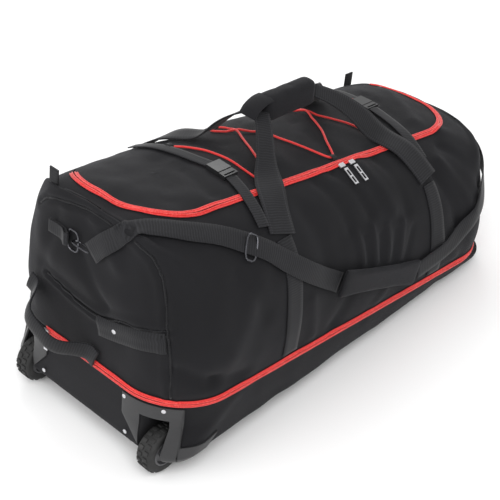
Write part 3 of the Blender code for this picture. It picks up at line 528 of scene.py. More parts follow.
def relief(bm, folds, seams, broad=0.0030, fine=0.0011, keep=None, gain=1.0):
    """Pushes a fabric sheet in and out along its normals: slack, folds and sewn seams."""
    bm.normal_update()
    verts = list(bm.verts)
    points = np.array([v.co for v in verts])
    rise = np.zeros(len(points))
    for a, b, width, height in folds:
        rise += gain * height * np.exp(-(segment_distance(points, a, b) / width) ** 2)
    for line, depth in seams:
        away = line_distance(points, line)
        beside, seam = np.exp(-((away - 0.009) / 0.006) ** 2), np.exp(-(away / 0.0042) ** 2)
        rise += depth * (0.9 * beside - seam)
    for i, vert in enumerate(verts):
        place = vert.co
        slack = noise.noise(place * 7.0) * broad
        slack += noise.noise(place * 19.0 + Vector((3, 1, 7))) * fine
        slack += noise.noise(Vector((place.x * 34, place.y * 34, place.z * 12))) * fine * 0.5
        rise[i] += slack
    if keep is not None:
        rise *= keep(points)
    for vert, offset in zip(verts, rise):
        vert.co += vert.normal * float(offset)


# ------------------------------------------------------------------ finishes
class Number:
    """A number in a material; arithmetic on it adds Math nodes."""

    def __init__(self, finish, socket):
        self.finish, self.socket = finish, socket

    def math(self, operation, *others):
        node = self.finish.node("ShaderNodeMath", {"operation": operation},
                                {i: value for i, value in enumerate((self, *others))})
        return Number(self.finish, node.outputs[0])

    def __add__(self, other):
        return self.math("ADD", other)

    __radd__ = __add__

    def __mul__(self, other):
        return self.math("MULTIPLY", other)

    __rmul__ = __mul__

    def __sub__(self, other):
        return self.math("SUBTRACT", other)

    def __rsub__(self, other):
        return (self * -1.0) + other

    def __gt__(self, other):
        return self.math("GREATER_THAN", other)

    def __lt__(self, other):
        return self.math("LESS_THAN", other)


class Finish:
    """A named material and the few ways of adding nodes to it."""

    def __init__(self, name):
        made = bpy.data.materials.new(name)
        made.use_nodes = True
        self.tree = made.node_tree
        self.shader = self.tree.nodes["Principled BSDF"]
        self.coordinates = self.node("ShaderNodeTexCoord", {}, {})

    def node(self, kind, settings, sockets):
        made = self.tree.nodes.new(kind)
        for key, value in settings.items():
            setattr(made, key, value)
        for key, value in sockets.items():
            self.put(made.inputs[key], value)
        return made

    def put(self, socket, value):
        if isinstance(value, Number):
            value = value.socket
        if isinstance(value, bpy.types.NodeSocket):
            self.tree.links.new(value, socket)
        else:
            socket.default_value = value

    def axes(self, output="Object"):
        split = self.node("ShaderNodeSeparateXYZ", {}, {0: self.coordinates.outputs[output]})
        return [Number(self, split.outputs[i]) for i in range(3)]

    def noise(self, scale, detail=2.0, stretch=None, output="Object"):
        vector = self.coordinates.outputs[output]
        if stretch:
            mapping = self.node("ShaderNodeMapping", {}, {"Vector": vector, "Scale": stretch})
            vector = mapping.outputs[0]
        made = self.node("ShaderNodeTexNoise", {},
                         {"Vector": vector, "Scale": scale, "Detail": detail})
        return Number(self, made.outputs[0])

    def ramp(self, factor, stops):
        made = self.node("ShaderNodeValToRGB", {}, {0: factor})
        elements = made.color_ramp.elements
        while len(elements) < len(stops):
            elements.new(0.5)
        for element, (place, color) in zip(elements, stops):
            element.position = place
            element.color = (*color, 1.0)
        return made.outputs[0]

    def mix(self, factor, first, second):
        made = self.node("ShaderNodeMix", {"data_type": "RGBA"}, {0: factor, 6: first, 7: second})
        return made.outputs[2]

    def bump(self, height, distance, strength=0.6, below=None):
        sockets = {"Height": height, "Distance": distance, "Strength": strength}
        if below is not None:
            sockets["Normal"] = below
        return self.node("ShaderNodeBump", {}, sockets).outputs[0]

    def surface(self, **values):
        names = {"color": "Base Color", "roughness": "Roughness", "metallic": "Metallic",
                 "normal": "Normal", "sheen": "Sheen Weight", "sheen_roughness": "Sheen Roughness",
                 "sheen_tint": "Sheen Tint", "specular": "Specular IOR Level"}
        for key, value in values.items():
            self.put(self.shader.inputs[names[key]], value)


def tinted(color, gain):
    return tuple(c * gain for c in color)


def woven(name, color, pitch, sheen, roughness=0.78, bump=0.00025):
    """Plain-woven cloth with slight dust and wear."""
    made = Finish(name)
    x, y, z = made.axes()
    turns = math.tau / pitch
    warp = ((x + y * 0.6) * turns).math("SINE")
    weft = ((z + y * 0.8) * turns).math("SINE")
    weave = warp * weft * 0.5 + 0.5
    cloudy = made.noise(5.0, 3.0)
    grain = made.noise(210.0, 2.0)
    shade = cloudy * 0.55 + grain * 0.30 + weave * 0.15
    made.surface(
        color=made.ramp(shade, ((0.30, tinted(color, 0.62)), (0.52, color),
                                (0.78, tinted(color, 1.65)))),
        roughness=grain * 0.16 + (roughness - 0.08), sheen=sheen, sheen_roughness=0.45,
        sheen_tint=(0.80, 0.80, 0.86, 1.0), specular=0.20,
        normal=made.bump(weave * 0.7 + grain * 0.6, bump, 0.55),
    )
    return made


def ribbed(name, color, width, stitched, sheen=0.12, gain=1.9):
    """Webbing: ribs across it, a herringbone weave, and rows of stitches near its edges."""
    made = Finish(name)
    u, v, _ = made.axes("UV")
    across = v * (1.0 / width)
    bent = (across * 4.0).math("PINGPONG", 1.0)
    ribs = ((u * 1300.0) + bent * 1.2).math("SINE") * 0.5 + 0.5
    grain = made.noise(320.0, 2.0)
    edge = (across - 0.5).math("ABSOLUTE")
    shade = ribs * 0.35 + grain * 0.45 + made.noise(9.0, 2.0) * 0.2
    base = made.ramp(shade, ((0.28, tinted(color, 0.60)), (0.52, color),
                             (0.80, tinted(color, gain))))
    height = ribs * 0.8 + grain * 0.4
    if stitched:
        row = (edge > 0.40) * (edge < 0.425)
        dash = (u * 1250.0).math("SINE") > -0.3
        stitch = row * dash
        base = made.mix(stitch, base, (*tinted(color, 2.4), 1.0))
        height = height + stitch * 1.6
    made.surface(color=base, roughness=grain * 0.2 + 0.62, sheen=sheen, sheen_roughness=0.4,
                 specular=0.24, normal=made.bump(height, 0.00035, 0.6))
    return made


def moulded(name, color, roughness, grain_size=600.0, bump=0.00008, specular=0.5):
    made = Finish(name)
    grain = made.noise(grain_size, 2.0)
    wear = made.noise(18.0, 4.0)
    made.surface(
        color=made.ramp(wear, ((0.30, tinted(color, 0.80)), (0.58, color),
                               (0.80, tinted(color, 1.45)))),
        roughness=wear * 0.18 + (roughness - 0.09), specular=specular,
        normal=made.bump(grain, bump, 0.5),
    )
    return made


def plated(name, color):
    made = Finish(name)
    brushed = made.noise(140.0, 3.0, stretch=(1.0, 1.0, 9.0))
    made.surface(
        color=made.ramp(brushed, ((0.3, tinted(color, 0.75)), (0.7, color))),
        metallic=1.0, roughness=brushed * 0.18 + 0.16, normal=made.bump(brushed, 0.00004, 0.4),
    )
    return made


def zipper_finish(name, color, light):
    """Zipper tape: woven edge, a coil beside the opening and fine ridges along it; the light colour
    paints a highlight on the ridge crests, and the coil's finish is painted brighter as a
    highlight.
    """
    made = Finish(name)
    u, _, _ = made.axes("UV")
    ridges = (u * 3600.0).math("SINE") * 0.5 + 0.5
    grain = made.noise(400.0, 2.0)
    # Painted highlight and shade: ridge crests shade towards the light colour, the troughs towards
    # a darker red.
    base = made.ramp(grain * 0.6 + ridges * 0.4, ((0.25, tinted(color, 0.55)),
                                                  (0.55, color), (0.85, light)))
    made.surface(color=base, roughness=grain * 0.15 + 0.40, sheen=0.15, specular=0.4,
                 normal=made.bump(ridges * 0.6 + grain * 0.5, 0.00030, 0.6))
    return made


def braided(name, color, light):
    made = Finish(name)
    u, v, _ = made.axes("UV")
    one = ((u * 1500.0) + v * (math.tau * 3)).math("SINE")
    two = ((u * 1500.0) - v * (math.tau * 3)).math("SINE")
    braid = one * two * 0.5 + 0.5
    # Painted highlight and shade: braid crests take the light colour, the grooves a darker red.
    made.surface(
        color=made.ramp(braid * 0.7 + made.noise(500.0) * 0.3,
                        ((0.2, tinted(color, 0.5)), (0.55, color), (0.85, light))),
        roughness=0.55, sheen=0.2, normal=made.bump(braid, 0.0004, 0.7),
    )
    return made


def tyre_finish():
    made = Finish("tyre rubber")
    dust = made.noise(45.0, 4.0)
    made.surface(
        color=made.ramp(dust, ((0.35, (0.010, 0.010, 0.010)), (0.62, (0.022, 0.022, 0.022)),
                               (0.85, (0.060, 0.058, 0.055)))),
        roughness=dust * 0.25 + 0.55, specular=0.4, normal=made.bump(dust, 0.0003, 0.5),
    )


# ------------------------------------------------------------------ settings
def length_setting(name, description, default):
    return bpy.props.FloatProperty(name=name, description=description, default=default,
                                   unit="LENGTH", subtype="DISTANCE")


def color_setting(name, description, default):
    return bpy.props.FloatVectorProperty(name=name, description=description, default=default,
                                         size=3, subtype="COLOR")


class DuffelSizes(bpy.types.PropertyGroup):
    strap_width: length_setting("Shoulder strap", "Width of the shoulder strap", 0.038)
    slim_width: length_setting("Slim webbing", "Width of compression straps", 0.025)
    handle_width: length_setting("Carry handles", "Width of the handle webbing", 0.053)
    cord_radius: length_setting("Lacing", "Radius of the elastic cord", 0.0022)


class DuffelColors(bpy.types.PropertyGroup):
    fabric: color_setting("Fabric", "Main cloth", (0.0062, 0.0061, 0.0074))
    webbing: color_setting("Webbing", "Straps and handles", (0.0105, 0.0105, 0.0122))
    accent: color_setting("Accent", "Zippers and lacing", (0.72, 0.007, 0.006))
    # Painted highlight colour for the crests of the zipper ridges and of the braided cord.
    accent_painted_highlight: color_setting("Accent highlight", "Raised threads", (0.80, 0.045, 0.040))
    plastic: color_setting("Plastic", "Wheel housings", (0.022, 0.022, 0.0235))


def sizes():
    return bpy.context.scene.duffel_sizes


def colors():
    return bpy.context.scene.duffel_colors


TREES = {}


class DUFFEL_OT_finishes(bpy.types.Operator):
    """Makes every finish and gives them to the frame's divider, base board, skid, axles and hubs"""

    bl_idname = "duffel.finishes"
    bl_label = "Finishes"

    def execute(self, context):
        look = colors()
        fabric, web = tuple(look.fabric), tuple(look.webbing)
        woven("main cloth", fabric, 0.0011, 0.05)
        woven("pocket cloth", tinted(fabric, 1.12), 0.0008, 0.06)
        woven("lining cloth", tinted(fabric, 2.2), 0.0009, 0.1)
        ribbed("wide webbing", web, sizes().handle_width, True)
        ribbed("strap webbing", web, sizes().strap_width, False)
        ribbed("slim webbing", web, sizes().slim_width, True)
        ribbed("binding", tinted(web, 0.8), 0.008, False)
        # The tape's ridge crests and the cord's braid crests get the accent's painted highlight
        # colour.
        zipper_finish("red zipper tape", tuple(look.accent), tuple(look.accent_painted_highlight))
        # The coil finish is the tape red worked towards pink: a painted highlight along the coil
        # and stitch rows.
        zipper_finish("bright zipper coil", tinted(look.accent, 1.05), (1.0, 0.30, 0.26))
        braided("red braided cord", tuple(look.accent), tuple(look.accent_painted_highlight))
        moulded("housing plastic", tuple(look.plastic), 0.46)
        moulded("buckle plastic", (0.016, 0.016, 0.017), 0.34, 900.0, 0.00004)
        moulded("hub plastic", (0.075, 0.075, 0.080), 0.42)
        moulded("stiff board", (0.030, 0.030, 0.032), 0.6)
        plated("nickel", (0.66, 0.66, 0.68))
        plated("dark nickel", (0.10, 0.10, 0.11))
        tyre_finish()
        shown = {
            "divider_panel": "lining cloth", "base_board": "stiff board",
            "rear_skid": "housing plastic", "axle_front": "nickel", "axle_rear": "nickel",
            "hub_front": "hub plastic",
            "hub_rear": "hub plastic",
        }
        for node, finish in shown.items():
            for slot in NODES[node].material_slots:
                slot.material = bpy.data.materials[finish]
        return {"FINISHED"}


class DUFFEL_OT_body(bpy.types.Operator):
    """Builds the base, the upper body and the lid, with their slack, folds and seams"""

    bl_idname = "duffel.body"
    bl_label = "Body"

    def execute(self, context):
        around = spread(0.0, 1.0, 381)
        shell = grid(around, spread(0.0, 1.0, 92), shell_at)
        merge(shell)
        puffs = (((-0.457, -0.085, 0.330), (-0.457, 0.090, 0.330), 0.034, 0.0065),
                 ((-0.455, -0.060, 0.400), (-0.455, 0.060, 0.410), 0.030, 0.0030))
        relief(shell, SHELL_FOLDS + puffs,
               ((END_SEAM, 0.0042), (POCKET_SEAM, 0.0046), (FAR_SEAM, 0.0036)), 0.0048, 0.0017,
               gain=1.45, keep=lambda p: np.clip((p[:, 2] - ZIP_Z) / 0.02, 0.1, 1.0))
        lid = grid(around, spread(0.0, 1.0, 40), lid_at)
        merge(lid, 2e-4)
        relief(lid, LID_FOLDS, (), 0.0042, 0.0015, gain=1.2)
        ridge = [v for v in lid.verts if abs(v.co.y - 0.0239) < 0.016 and -0.31 < v.co.x < 0.33]
        for _ in range(14):
            bmesh.ops.smooth_vert(lid, verts=ridge, factor=0.5, use_axis_x=True, use_axis_y=True,
                                  use_axis_z=True)
        base = grid(around, spread(0.0, 1.0, 61), base_at)
        merge(base, 2e-4)
        bmesh.ops.holes_fill(base, edges=[e for e in base.edges if e.is_boundary
                                          and abs(e.verts[0].co.y) < 0.02], sides=0)
        relief(base, BASE_FOLDS, (), 0.0016, 0.0008,
               keep=lambda p: np.clip((ZIP_Z - p[:, 2]) / 0.02, 0.1, 1.0)
               * np.clip((p[:, 0] + 0.44) / 0.05, 0.15, 1.0))
        TREES["shell"], TREES["lid"] = skin_tree(shell), skin_tree(lid)
        TREES["all"] = skin_tree(shell, lid, base)
        self.seams()
        for side in (-1, 1):
            carve_well(base, side)
        outward = (0.0, 0.0, 0.2)
        for name, bm, body, nodes in (
                ("bag_fabric", shell, "bag", ("bag_shell", "end_pocket")),
                ("lid_fabric", lid, "lid", ("lid_panel",)),
                ("base_fabric", base, "base", ("base_tray",))):
            obj = finish_mesh(name, bm, "main cloth", body, "ballistic_fabric", nodes,
                              outward=outward)
            thicken(obj, CLOTH_THICKNESS)
        return {"FINISHED"}

    def seams(self):
        """Adds the bound seams that show as thin ridges on the end panels."""
        for name, seam in (("wheel_end", END_SEAM), ("pocket", POCKET_SEAM), ("far_end", FAR_SEAM)):
            line = [laid(TREES["shell"], p, 0.0010)[0] for p in smooth_path(seam, 0.006)]
            finish_mesh(f"seam_binding_{name}", tube(line, SEAM_RADIUS, 8), "binding", "bag",
                        "webbing")


def inside(face, low, high, margin=0.0):
    middle = face.calc_center_median()
    return all(low[i] - margin < middle[i] < high[i] + margin for i in range(3))


def carve(bm, low, high):
    """Cuts a box-shaped opening with clean edges out of a sheet."""
    for axis in range(3):
        for corner in (low, high):
            normal = [0.0, 0.0, 0.0]
            normal[axis] = 1.0
            near = [f for f in bm.faces if inside(f, low, high, 0.02)]
            geom = list({*near, *(e for f in near for e in f.edges),
                         *(v for f in near for v in f.verts)})
            bmesh.ops.bisect_plane(bm, geom=geom, plane_co=corner, plane_no=normal)
    gone = [f for f in bm.faces if inside(f, low, high)]
    bmesh.ops.delete(bm, geom=gone, context="FACES")


def carve_well(bm, side):
    """Opens a wheel's well in a sheet."""
    carve(bm, (-0.60, side * WHEEL_Y - WELL_HALF_WIDTH, -0.05),
          (WELL_BACK, side * WHEEL_Y + WELL_HALF_WIDTH, WELL_TOP))


def guard_top(place):
    """Height of a wheel housing's upper edge at a place on the base."""
    if abs(place.y) < 0.205 and place.x < -0.40:
        return 0.150
    knots = ((-0.500, 0.150), (-0.449, 0.118), (-0.434, 0.082), (-0.407, 0.070), (-0.330, 0.073),
             (-0.300, 0.090))
    for (xa, za), (xb, zb) in zip(knots, knots[1:]):
        if xa <= place.x <= xb:
            return za + (zb - za) * (place.x - xa) / (xb - xa)
    return 0.090


class DUFFEL_OT_wheels(bpy.types.Operator):
    """Builds the wheel housings with their wells and rivets, and the treaded tyres"""

    bl_idname = "duffel.wheels"
    bl_label = "Wheels"

    def execute(self, context):
        for name, side, first in (("front", -1, 0.206), ("rear", 1, 0.105)):
            picked = []
            for u in spread(first, first + 0.264, 110):
                edge = base_at(u, 0.9)
                if edge.x < GUARD_REACH and side * edge.y > GUARD_INNER_Y:
                    picked.append(u)

            def place(u, v):
                flat = base_at(u, 0.36)
                top = guard_top(base_at(u, 0.92))
                spot = base_at_height(u, flat.z + (top - flat.z) * v) if v > 0 else flat
                near, normal, _, _ = TREES["all"].find_nearest(spot)
                return near + normal * 0.0034

            bm = grid(picked, spread(0.0, 1.0, 30), place)
            carve_well(bm, side)
            guard = finish_mesh(f"wheel_guard_{name}", bm, "housing plastic", "base",
                                "housing_plastic", (f"wheel_housing_{name}",),
                                outward=(0, 0, 0.15))
            thicken(guard, 0.0032)
            soften(guard, 0.0009)
            well = bmesh.new()
            box(well, (-0.4475, side * WHEEL_Y - WELL_HALF_WIDTH, 0.041),
                (WELL_BACK, side * WHEEL_Y + WELL_HALF_WIDTH, WELL_TOP))
            bmesh.ops.subdivide_edges(well, edges=well.edges[:], cuts=11, use_grid_fill=True)
            well.normal_update()
            open_sides = [f for f in well.faces if f.normal.x < -0.5 or f.normal.z < -0.5]
            bmesh.ops.delete(well, geom=open_sides, context="FACES")
            for vert in well.verts:
                start = Vector((-0.7, vert.co.y, max(vert.co.z, 0.046)))
                hit, _, _, _ = TREES["all"].ray_cast(start, Vector((1, 0, 0)))
                vert.co.x = max(vert.co.x, hit.x + 0.0005)
            bmesh.ops.reverse_faces(well, faces=well.faces)
            liner = finish_mesh(f"wheel_well_{name}", well, "housing plastic", "base",
                                "housing_plastic", smooth=False)
            thicken(liner, 0.0020)
            rivets = bmesh.new()
            for y, z in ((0.107, 0.142), (0.200, 0.142), (0.110, 0.062)):
                spot, normal = laid(TREES["all"], Vector((-0.46, side * y, z)), 0.0030)
                rod(rivets, spot, spot + normal * 0.0022, 0.0042, 20, 0.0008)
            finish_mesh(f"housing_rivets_{name}", rivets, "nickel", "base", "nickel")
            self.tyre(name, side)
        return {"FINISHED"}

    def tyre(self, name, side):
        half = 0.017
        profile = ((0.0272, half), (0.0360, half), (0.0395, half - 0.0014), (0.0415, half - 0.0050),
                   (0.0418, 0.0), (0.0415, 0.0050 - half), (0.0395, 0.0014 - half), (0.0360, -half),
                   (0.0272, -half))
        bm = bmesh.new()
        verts = [bm.verts.new((radius, y, 0.0)) for radius, y in profile]
        edges = [bm.edges.new((a, b)) for a, b in zip(verts, verts[1:] + verts[:1])]
        bmesh.ops.spin(bm, geom=verts + edges, cent=(0, 0, 0), axis=(0, 1, 0), angle=math.tau,
                       steps=80, use_merge=True)
        merge(bm)
        bmesh.ops.recalc_face_normals(bm, faces=bm.faces)
        for step in range(20):
            for row, shift in ((-1, 0.0), (1, 0.5)):
                turn = Matrix.Rotation(math.tau * (step + shift) / 20, 4, "Y")
                middle = row * 0.0070
                box(bm, (0.0395, middle - 0.0052, -0.0040), (0.0438, middle + 0.0052, 0.0040),
                    0.0009, 2, turn)
        bmesh.ops.translate(bm, vec=(WHEEL_X, side * WHEEL_Y, WHEEL_RADIUS), verts=bm.verts)
        obj = finish_mesh(f"treaded_tyre_{name}", bm, "tyre rubber", f"wheel_{name}", "tyre",
                          (f"tyre_{name}",))
        obj.data.set_sharp_from_angle(angle=math.radians(40))


def zip_side(name, us, edge_at, tree, body, replaced, tape=(-0.0001, 0.0064)):
    """One side of a zipper: its tape, its coil and a row of stitches.

    edge_at(u) gives the place on the opening's edge and the way from it across the tape.
    """
    places = [edge_at(u) for u in us]
    run = lengths_along([spot for spot, _ in places])
    index = numbered(run)

    def place(u, v):
        spot, way = places[index[u]]
        near, normal, _, _ = tree.find_nearest(spot + way * v)
        return near + normal * 0.0016

    bm = grid(run, spread(tape[0], tape[1], 4), place)
    made = finish_mesh(name, bm, "red zipper tape", body, "zip_tape", (replaced,),
                       outward=(0, 0, 0.2))
    thicken(made, 0.0010, 1.0)
    # Both the coil and the row of stitches take the coil finish, whose pink is a painted highlight.
    for part, offset, radius, rise, finish in (
            ("coil", tape[0] + 0.0010, 0.0013, 0.0030, "bright zipper coil"),
            ("stitching", tape[1] - 0.0016, 0.0005, 0.0027, "bright zipper coil")):
        line = []
        for spot, way in places:
            near, normal, _, _ = tree.find_nearest(spot + way * offset)
            line.append(near + normal * rise)
        finish_mesh(f"{name}_{part}", tube(line, radius, 8), finish, body, "zip_tape")


class DUFFEL_OT_zippers(bpy.types.Operator):
    """Builds both sides of the base zipper and of the lid zipper"""

    bl_idname = "duffel.zippers"
    bl_label = "Zippers"

    def execute(self, context):
        down, up = Vector((0, 0, -1)), Vector((0, 0, 1))
        base_us = spread(0.2096, 0.7904, 330)
        zip_side("base_zipper", base_us, lambda u: (base_column(u)[-1], down), TREES["all"], "base",
                 "base_zip_tape")
        zip_side("bag_zipper", base_us, lambda u: (shell_column(u)[0], up), TREES["all"], "bag",
                 "bag_zip_tape")
        lid_us = spread(0.176, 0.824, 330)

        def shell_edge(u):
            column = shell_column(u)
            return column[-1], (column[-2] - column[-1]).normalized()

        def lid_edge(u):
            start = lid_at(u, 0.0)
            return start, (lid_at(u, 0.1) - start).normalized()

        zip_side("top_zipper", lid_us, shell_edge, TREES["shell"], "bag", "top_zip_tape")
        zip_side("lid_zipper", lid_us, lid_edge, TREES["lid"], "lid", "lid_zip_tape")
        return {"FINISHED"}


def webbing(name, tree, path, width, body, replaces, thickness=0.0020, finish="slim webbing",
            slot="webbing", **how):
    bm = strap(tree, path, width, **how)
    made = finish_mesh(name, bm, finish, body, slot, replaces)
    thicken(made, thickness, 0.0)
    soften(made, 0.0004, 1)
    return made


class DUFFEL_OT_webbing(bpy.types.Operator):
    """Builds the sewn strips, the compression straps and the grab handles"""

    bl_idname = "duffel.webbing"
    bl_label = "Sewn webbing"

    def execute(self, context):
        shell = TREES["shell"]
        side_way = [(1, 0, 0)] * 5
        for where, side in (("front", -1), ("rear", 1)):
            for name, x in STRIP_X:
                drop = TILT * x
                path = [(x, side * 0.196, 0.385 - drop), (x, side * 0.212, 0.345 - drop),
                        (x, side * 0.226, 0.290 - drop * 0.6), (x, side * 0.233, 0.225),
                        (x, side * 0.232, 0.176)]
                webbing(f"side_strip_{where}_{name}", shell, path, 0.038, "bag",
                        (f"strip_{where}_{name}",), lift=0.0022, across=side_way,
                        finish="strap webbing")
        slim = sizes().slim_width
        for name, (sewn, pull, fold) in {
                "left": (((-0.226, 0.148), (-0.212, 0.090), (-0.199, 0.025), (-0.189, -0.016)),
                         ((-0.190, -0.060), (-0.198, -0.100), (-0.207, -0.140), (-0.213, -0.164)),
                         "strap_left"),
                "right": (((0.290, 0.148), (0.287, 0.110), (0.284, 0.080), (0.281, 0.048)),
                          ((0.280, 0.004), (0.270, -0.050), (0.256, -0.110), (0.246, -0.150)),
                          "strap_right")}.items():
            path = [dropped(TREES["all"], x, y) for x, y in sewn]
            webbing(f"compression_strap_{name}", TREES["all"], path, slim, "lid",
                    (f"strap_{name}_sewn",), lift=0.0048, across=[(1, 0, 0)] * len(path))
            path = [dropped(TREES["all"], x, y) for x, y in pull]
            loose = webbing(f"compression_pull_{name}", TREES["all"], path, slim, None,
                            (f"strap_{name}_pull",), lift=0.0058, across=[(1, 0, 0)] * len(path))
            start, end = STAND @ path[-1], STAND @ path[-2]
            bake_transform(loose)
            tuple(start)
            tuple(end)
        webbing("wheel_end_patch", shell,
                [(-0.457, -0.034, 0.250), (-0.457, -0.070, 0.258), (-0.455, -0.110, 0.271),
                 (-0.448, -0.145, 0.281), (-0.434, -0.172, 0.286)], 0.038, "bag", ("end_patch",),
                lift=0.0022, across=[(0, 0.25, 1)] * 5, finish="strap webbing")
        rivet = bmesh.new()
        spot, normal = laid(shell, Vector((-0.456, -0.076, 0.262)), 0.0030)
        rod(rivet, spot, spot + normal * 0.0020, 0.0045, 24, 0.0008)
        finish_mesh("patch_rivet", rivet, "nickel", "bag", "nickel")
        self.grab("wheel_end", -1, -0.4590, 0.055, 0.214, 0.052)
        self.grab("far_end", 1, 0.4626, 0.0, 0.255, 0.041)
        for name, side, y, z in (("wheel_end", -1, 0.030, 0.390), ("far_end", 1, 0.008, 0.352)):
            face = shell_face(side, z)
            x, bar = face + side * 0.0100, y + 0.013
            fold = [(face + side * 0.0024, bar + 0.050), (face + side * 0.0024, bar + 0.014),
                    (x - side * 0.0040, bar + 0.004), (x, bar - 0.0046),
                    (x + side * 0.0036, bar + 0.002), (face + side * 0.0056, bar + 0.018),
                    (face + side * 0.0056, bar + 0.050)]
            path = smooth_path([(px, py, z) for px, py in fold], 0.003)
            flat_ribbon(f"d_ring_loop_{name}", path, Vector((0, 0, 1)), 0.025, "slim webbing",
                        "bag", (f"d_ring_tab_{name}",), 0.0016)
        for name, x, y, way in (("wheel_end", -0.4365, 0.112, (0, 1, 0)),
                                ("far_end", 0.402, 0.1655, (1, 0, 0))):
            low = arch(x, y)
            path = smooth_path([(x, y, low + up) for up in (0.004, 0.018, 0.034)], 0.004)
            flat_ribbon(f"zip_end_{name}", path, Vector(way), 0.022, "strap webbing", "bag",
                        (f"zip_tab_{name}",), 0.0030)
        return {"FINISHED"}

    def grab(self, name, side, base, middle, z, reach):
        half = 0.068
        profile = ((half + 0.022, 0.0), (half + 0.004, 0.02), (half - 0.010, 0.32),
                   (half - 0.026, 0.80), (half - 0.044, 1.0), (0.0, 1.02))
        line = [(y, depth) for y, depth in profile] + [(-y, depth) for y, depth in profile[-2::-1]]
        lean = 0.40 if side < 0 else 0.0
        path = smooth_path([(base + side * reach * d, middle + y, z + lean * y) for y, d in line],
                           0.005)
        widths = [0.040 * (1.0 - 0.16 * min(1.0, abs(p.x - base) / reach)) for p in path]
        flat_ribbon(f"grab_handle_{name}", path, Vector((0, -lean, 1)), widths, "strap webbing",
                    "bag", (f"end_handle_{name}",), 0.0034, crown=0.002 * side)


def shell_face(side, z):
    near, _, _, _ = TREES["shell"].ray_cast(Vector((side * 0.7, 0.02, z)), Vector((-side, 0, 0)))
    return near.x


def flat_ribbon(name, path, across, width, finish, body, replaces, thickness, crown=0.0):
    """Webbing along a free path, with one way across it."""
    widths = width if isinstance(width, list) else [width] * len(path)
    run = lengths_along(path)
    index = numbered(run)
    ways = tangents(path)

    def place(u, v):
        i = index[u]
        side = (across - ways[i] * across.dot(ways[i])).normalized()
        out = side.cross(ways[i])
        return path[i] + side * widths[i] * (v - 0.5) + out * crown * (1 - (2 * v - 1) ** 2)

    bm = grid(run, spread(0.0, 1.0, 5), place)
    uv = bm.loops.layers.uv.active
    for face in bm.faces:
        for loop in face.loops:
            loop[uv].uv.y *= widths[0]
    made = finish_mesh(name, bm, finish, body, "webbing", replaces)
    thicken(made, thickness, 0.0)
    soften(made, 0.0005, 2)
    return made


class DUFFEL_OT_handles(bpy.types.Operator):
    """Builds the carry handles' four legs and the padded wrap that joins them"""

    bl_idname = "duffel.handles"
    bl_label = "Carry handles"

    def execute(self, context):
        for where, side in (("front", -1), ("rear", 1)):
            foot_y = side * (0.177 if side < 0 else 0.187)
            for name, foot_x, mid_x, turn_x, grip_x in (
                    ("left", -0.182, -0.158, -0.118, -0.066),
                    ("right", 0.231, 0.214, 0.190, 0.078)):
                lift = 0.0105
                low = [dropped(TREES["all"], x, y, lift) for x, y in (
                    (foot_x, foot_y), (mid_x, side * 0.128), (turn_x, side * 0.078))]
                grip = Vector((grip_x, side * 0.007, 0.524))
                rise = [low[-1].lerp(grip, t) + Vector((0, 0, 0.013 * math.sin(math.pi * t)))
                        for t in (0.33, 0.66)]
                path = low + rise + [grip]
                path[0] = path[0] - Vector((0, 0, 0.007))
                leg = webbing(f"handle_leg_{where}_{name}", TREES["all"], path,
                              sizes().handle_width, None, (f"handle_{where}_{name}",), 0.0030,
                              "wide webbing", lift=0.0030, snap=False, across=[(1, 0, 0)] * 6,
                              widths=(1.0, 1.0, 1.0, 0.85, 0.68, 0.56))
                STAND @ path[0]
                STAND @ path[1]
                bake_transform(leg)
        flap = smooth_path([(-0.048, 0.0, 0.5440), (-0.066, 0.0, 0.5420), (-0.084, 0.0, 0.5330),
                            (-0.094, 0.0, 0.5200)], 0.004)
        flat_ribbon("grip_flap", flap, Vector((0, 1, 0)), 0.038, "pocket cloth", "rear_handle", (),
                    0.0034, 0.004)
        bm = bmesh.new()
        box(bm, (-0.0575, -0.0180, 0.4995), (0.0700, 0.0180, 0.5500), 0.012, 4)
        swell("grip_pad", bm, "pocket cloth", "rear_handle", ("grip_wrap",), 4.0, 0.008)
        return {"FINISHED"}


def swell(name, bm, material, body, replaces, pressure, limit, voxel=0.005):
    """Fills a padded piece by cloth simulation and keeps every point near where it began."""
    mesh = bpy.data.meshes.new(name)
    bm.to_mesh(mesh)
    bm.free()
    mesh.transform(STAND)
    obj = bpy.data.objects.new(name, mesh)
    context = bpy.context
    context.scene.collection.objects.link(obj)
    remesh = obj.modifiers.new("remesh", "REMESH")
    remesh.mode = "VOXEL"
    remesh.voxel_size = voxel
    start = bpy.data.meshes.new_from_object(obj.evaluated_get(context.evaluated_depsgraph_get()))
    obj.modifiers.clear()
    obj.data = start
    rest = np.array([v.co for v in start.vertices])
    cloth = obj.modifiers.new("cloth", "CLOTH")
    cloth.settings.use_pressure = True
    cloth.settings.uniform_pressure_force = pressure
    cloth.settings.effector_weights.gravity = 0.0
    cloth.settings.shrink_min = -0.04
    cloth.point_cache.frame_start, cloth.point_cache.frame_end = 1, 20
    for step in range(1, 21):
        context.scene.frame_set(step)
    done = bpy.data.meshes.new_from_object(obj.evaluated_get(context.evaluated_depsgraph_get()))
    moved = np.array([v.co for v in done.vertices]) - rest
    reach = np.linalg.norm(moved, axis=1, keepdims=True)
    places = rest + moved * np.minimum(1.0, limit / np.maximum(reach, 1e-9))
    for vert, place in zip(done.vertices, places):
        vert.co = place
    obj.modifiers.clear()
    obj.data = done
    context.scene.frame_set(1)
    for polygon in obj.data.polygons:
        polygon.use_smooth = True
    obj.data.materials.clear()
    obj.data.materials.append(bpy.data.materials[material])
    smoother = obj.modifiers.new("subdivision", "SUBSURF")
    smoother.levels = smoother.render_levels = 1
    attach(obj, body)
    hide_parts(*replaces)
    return obj


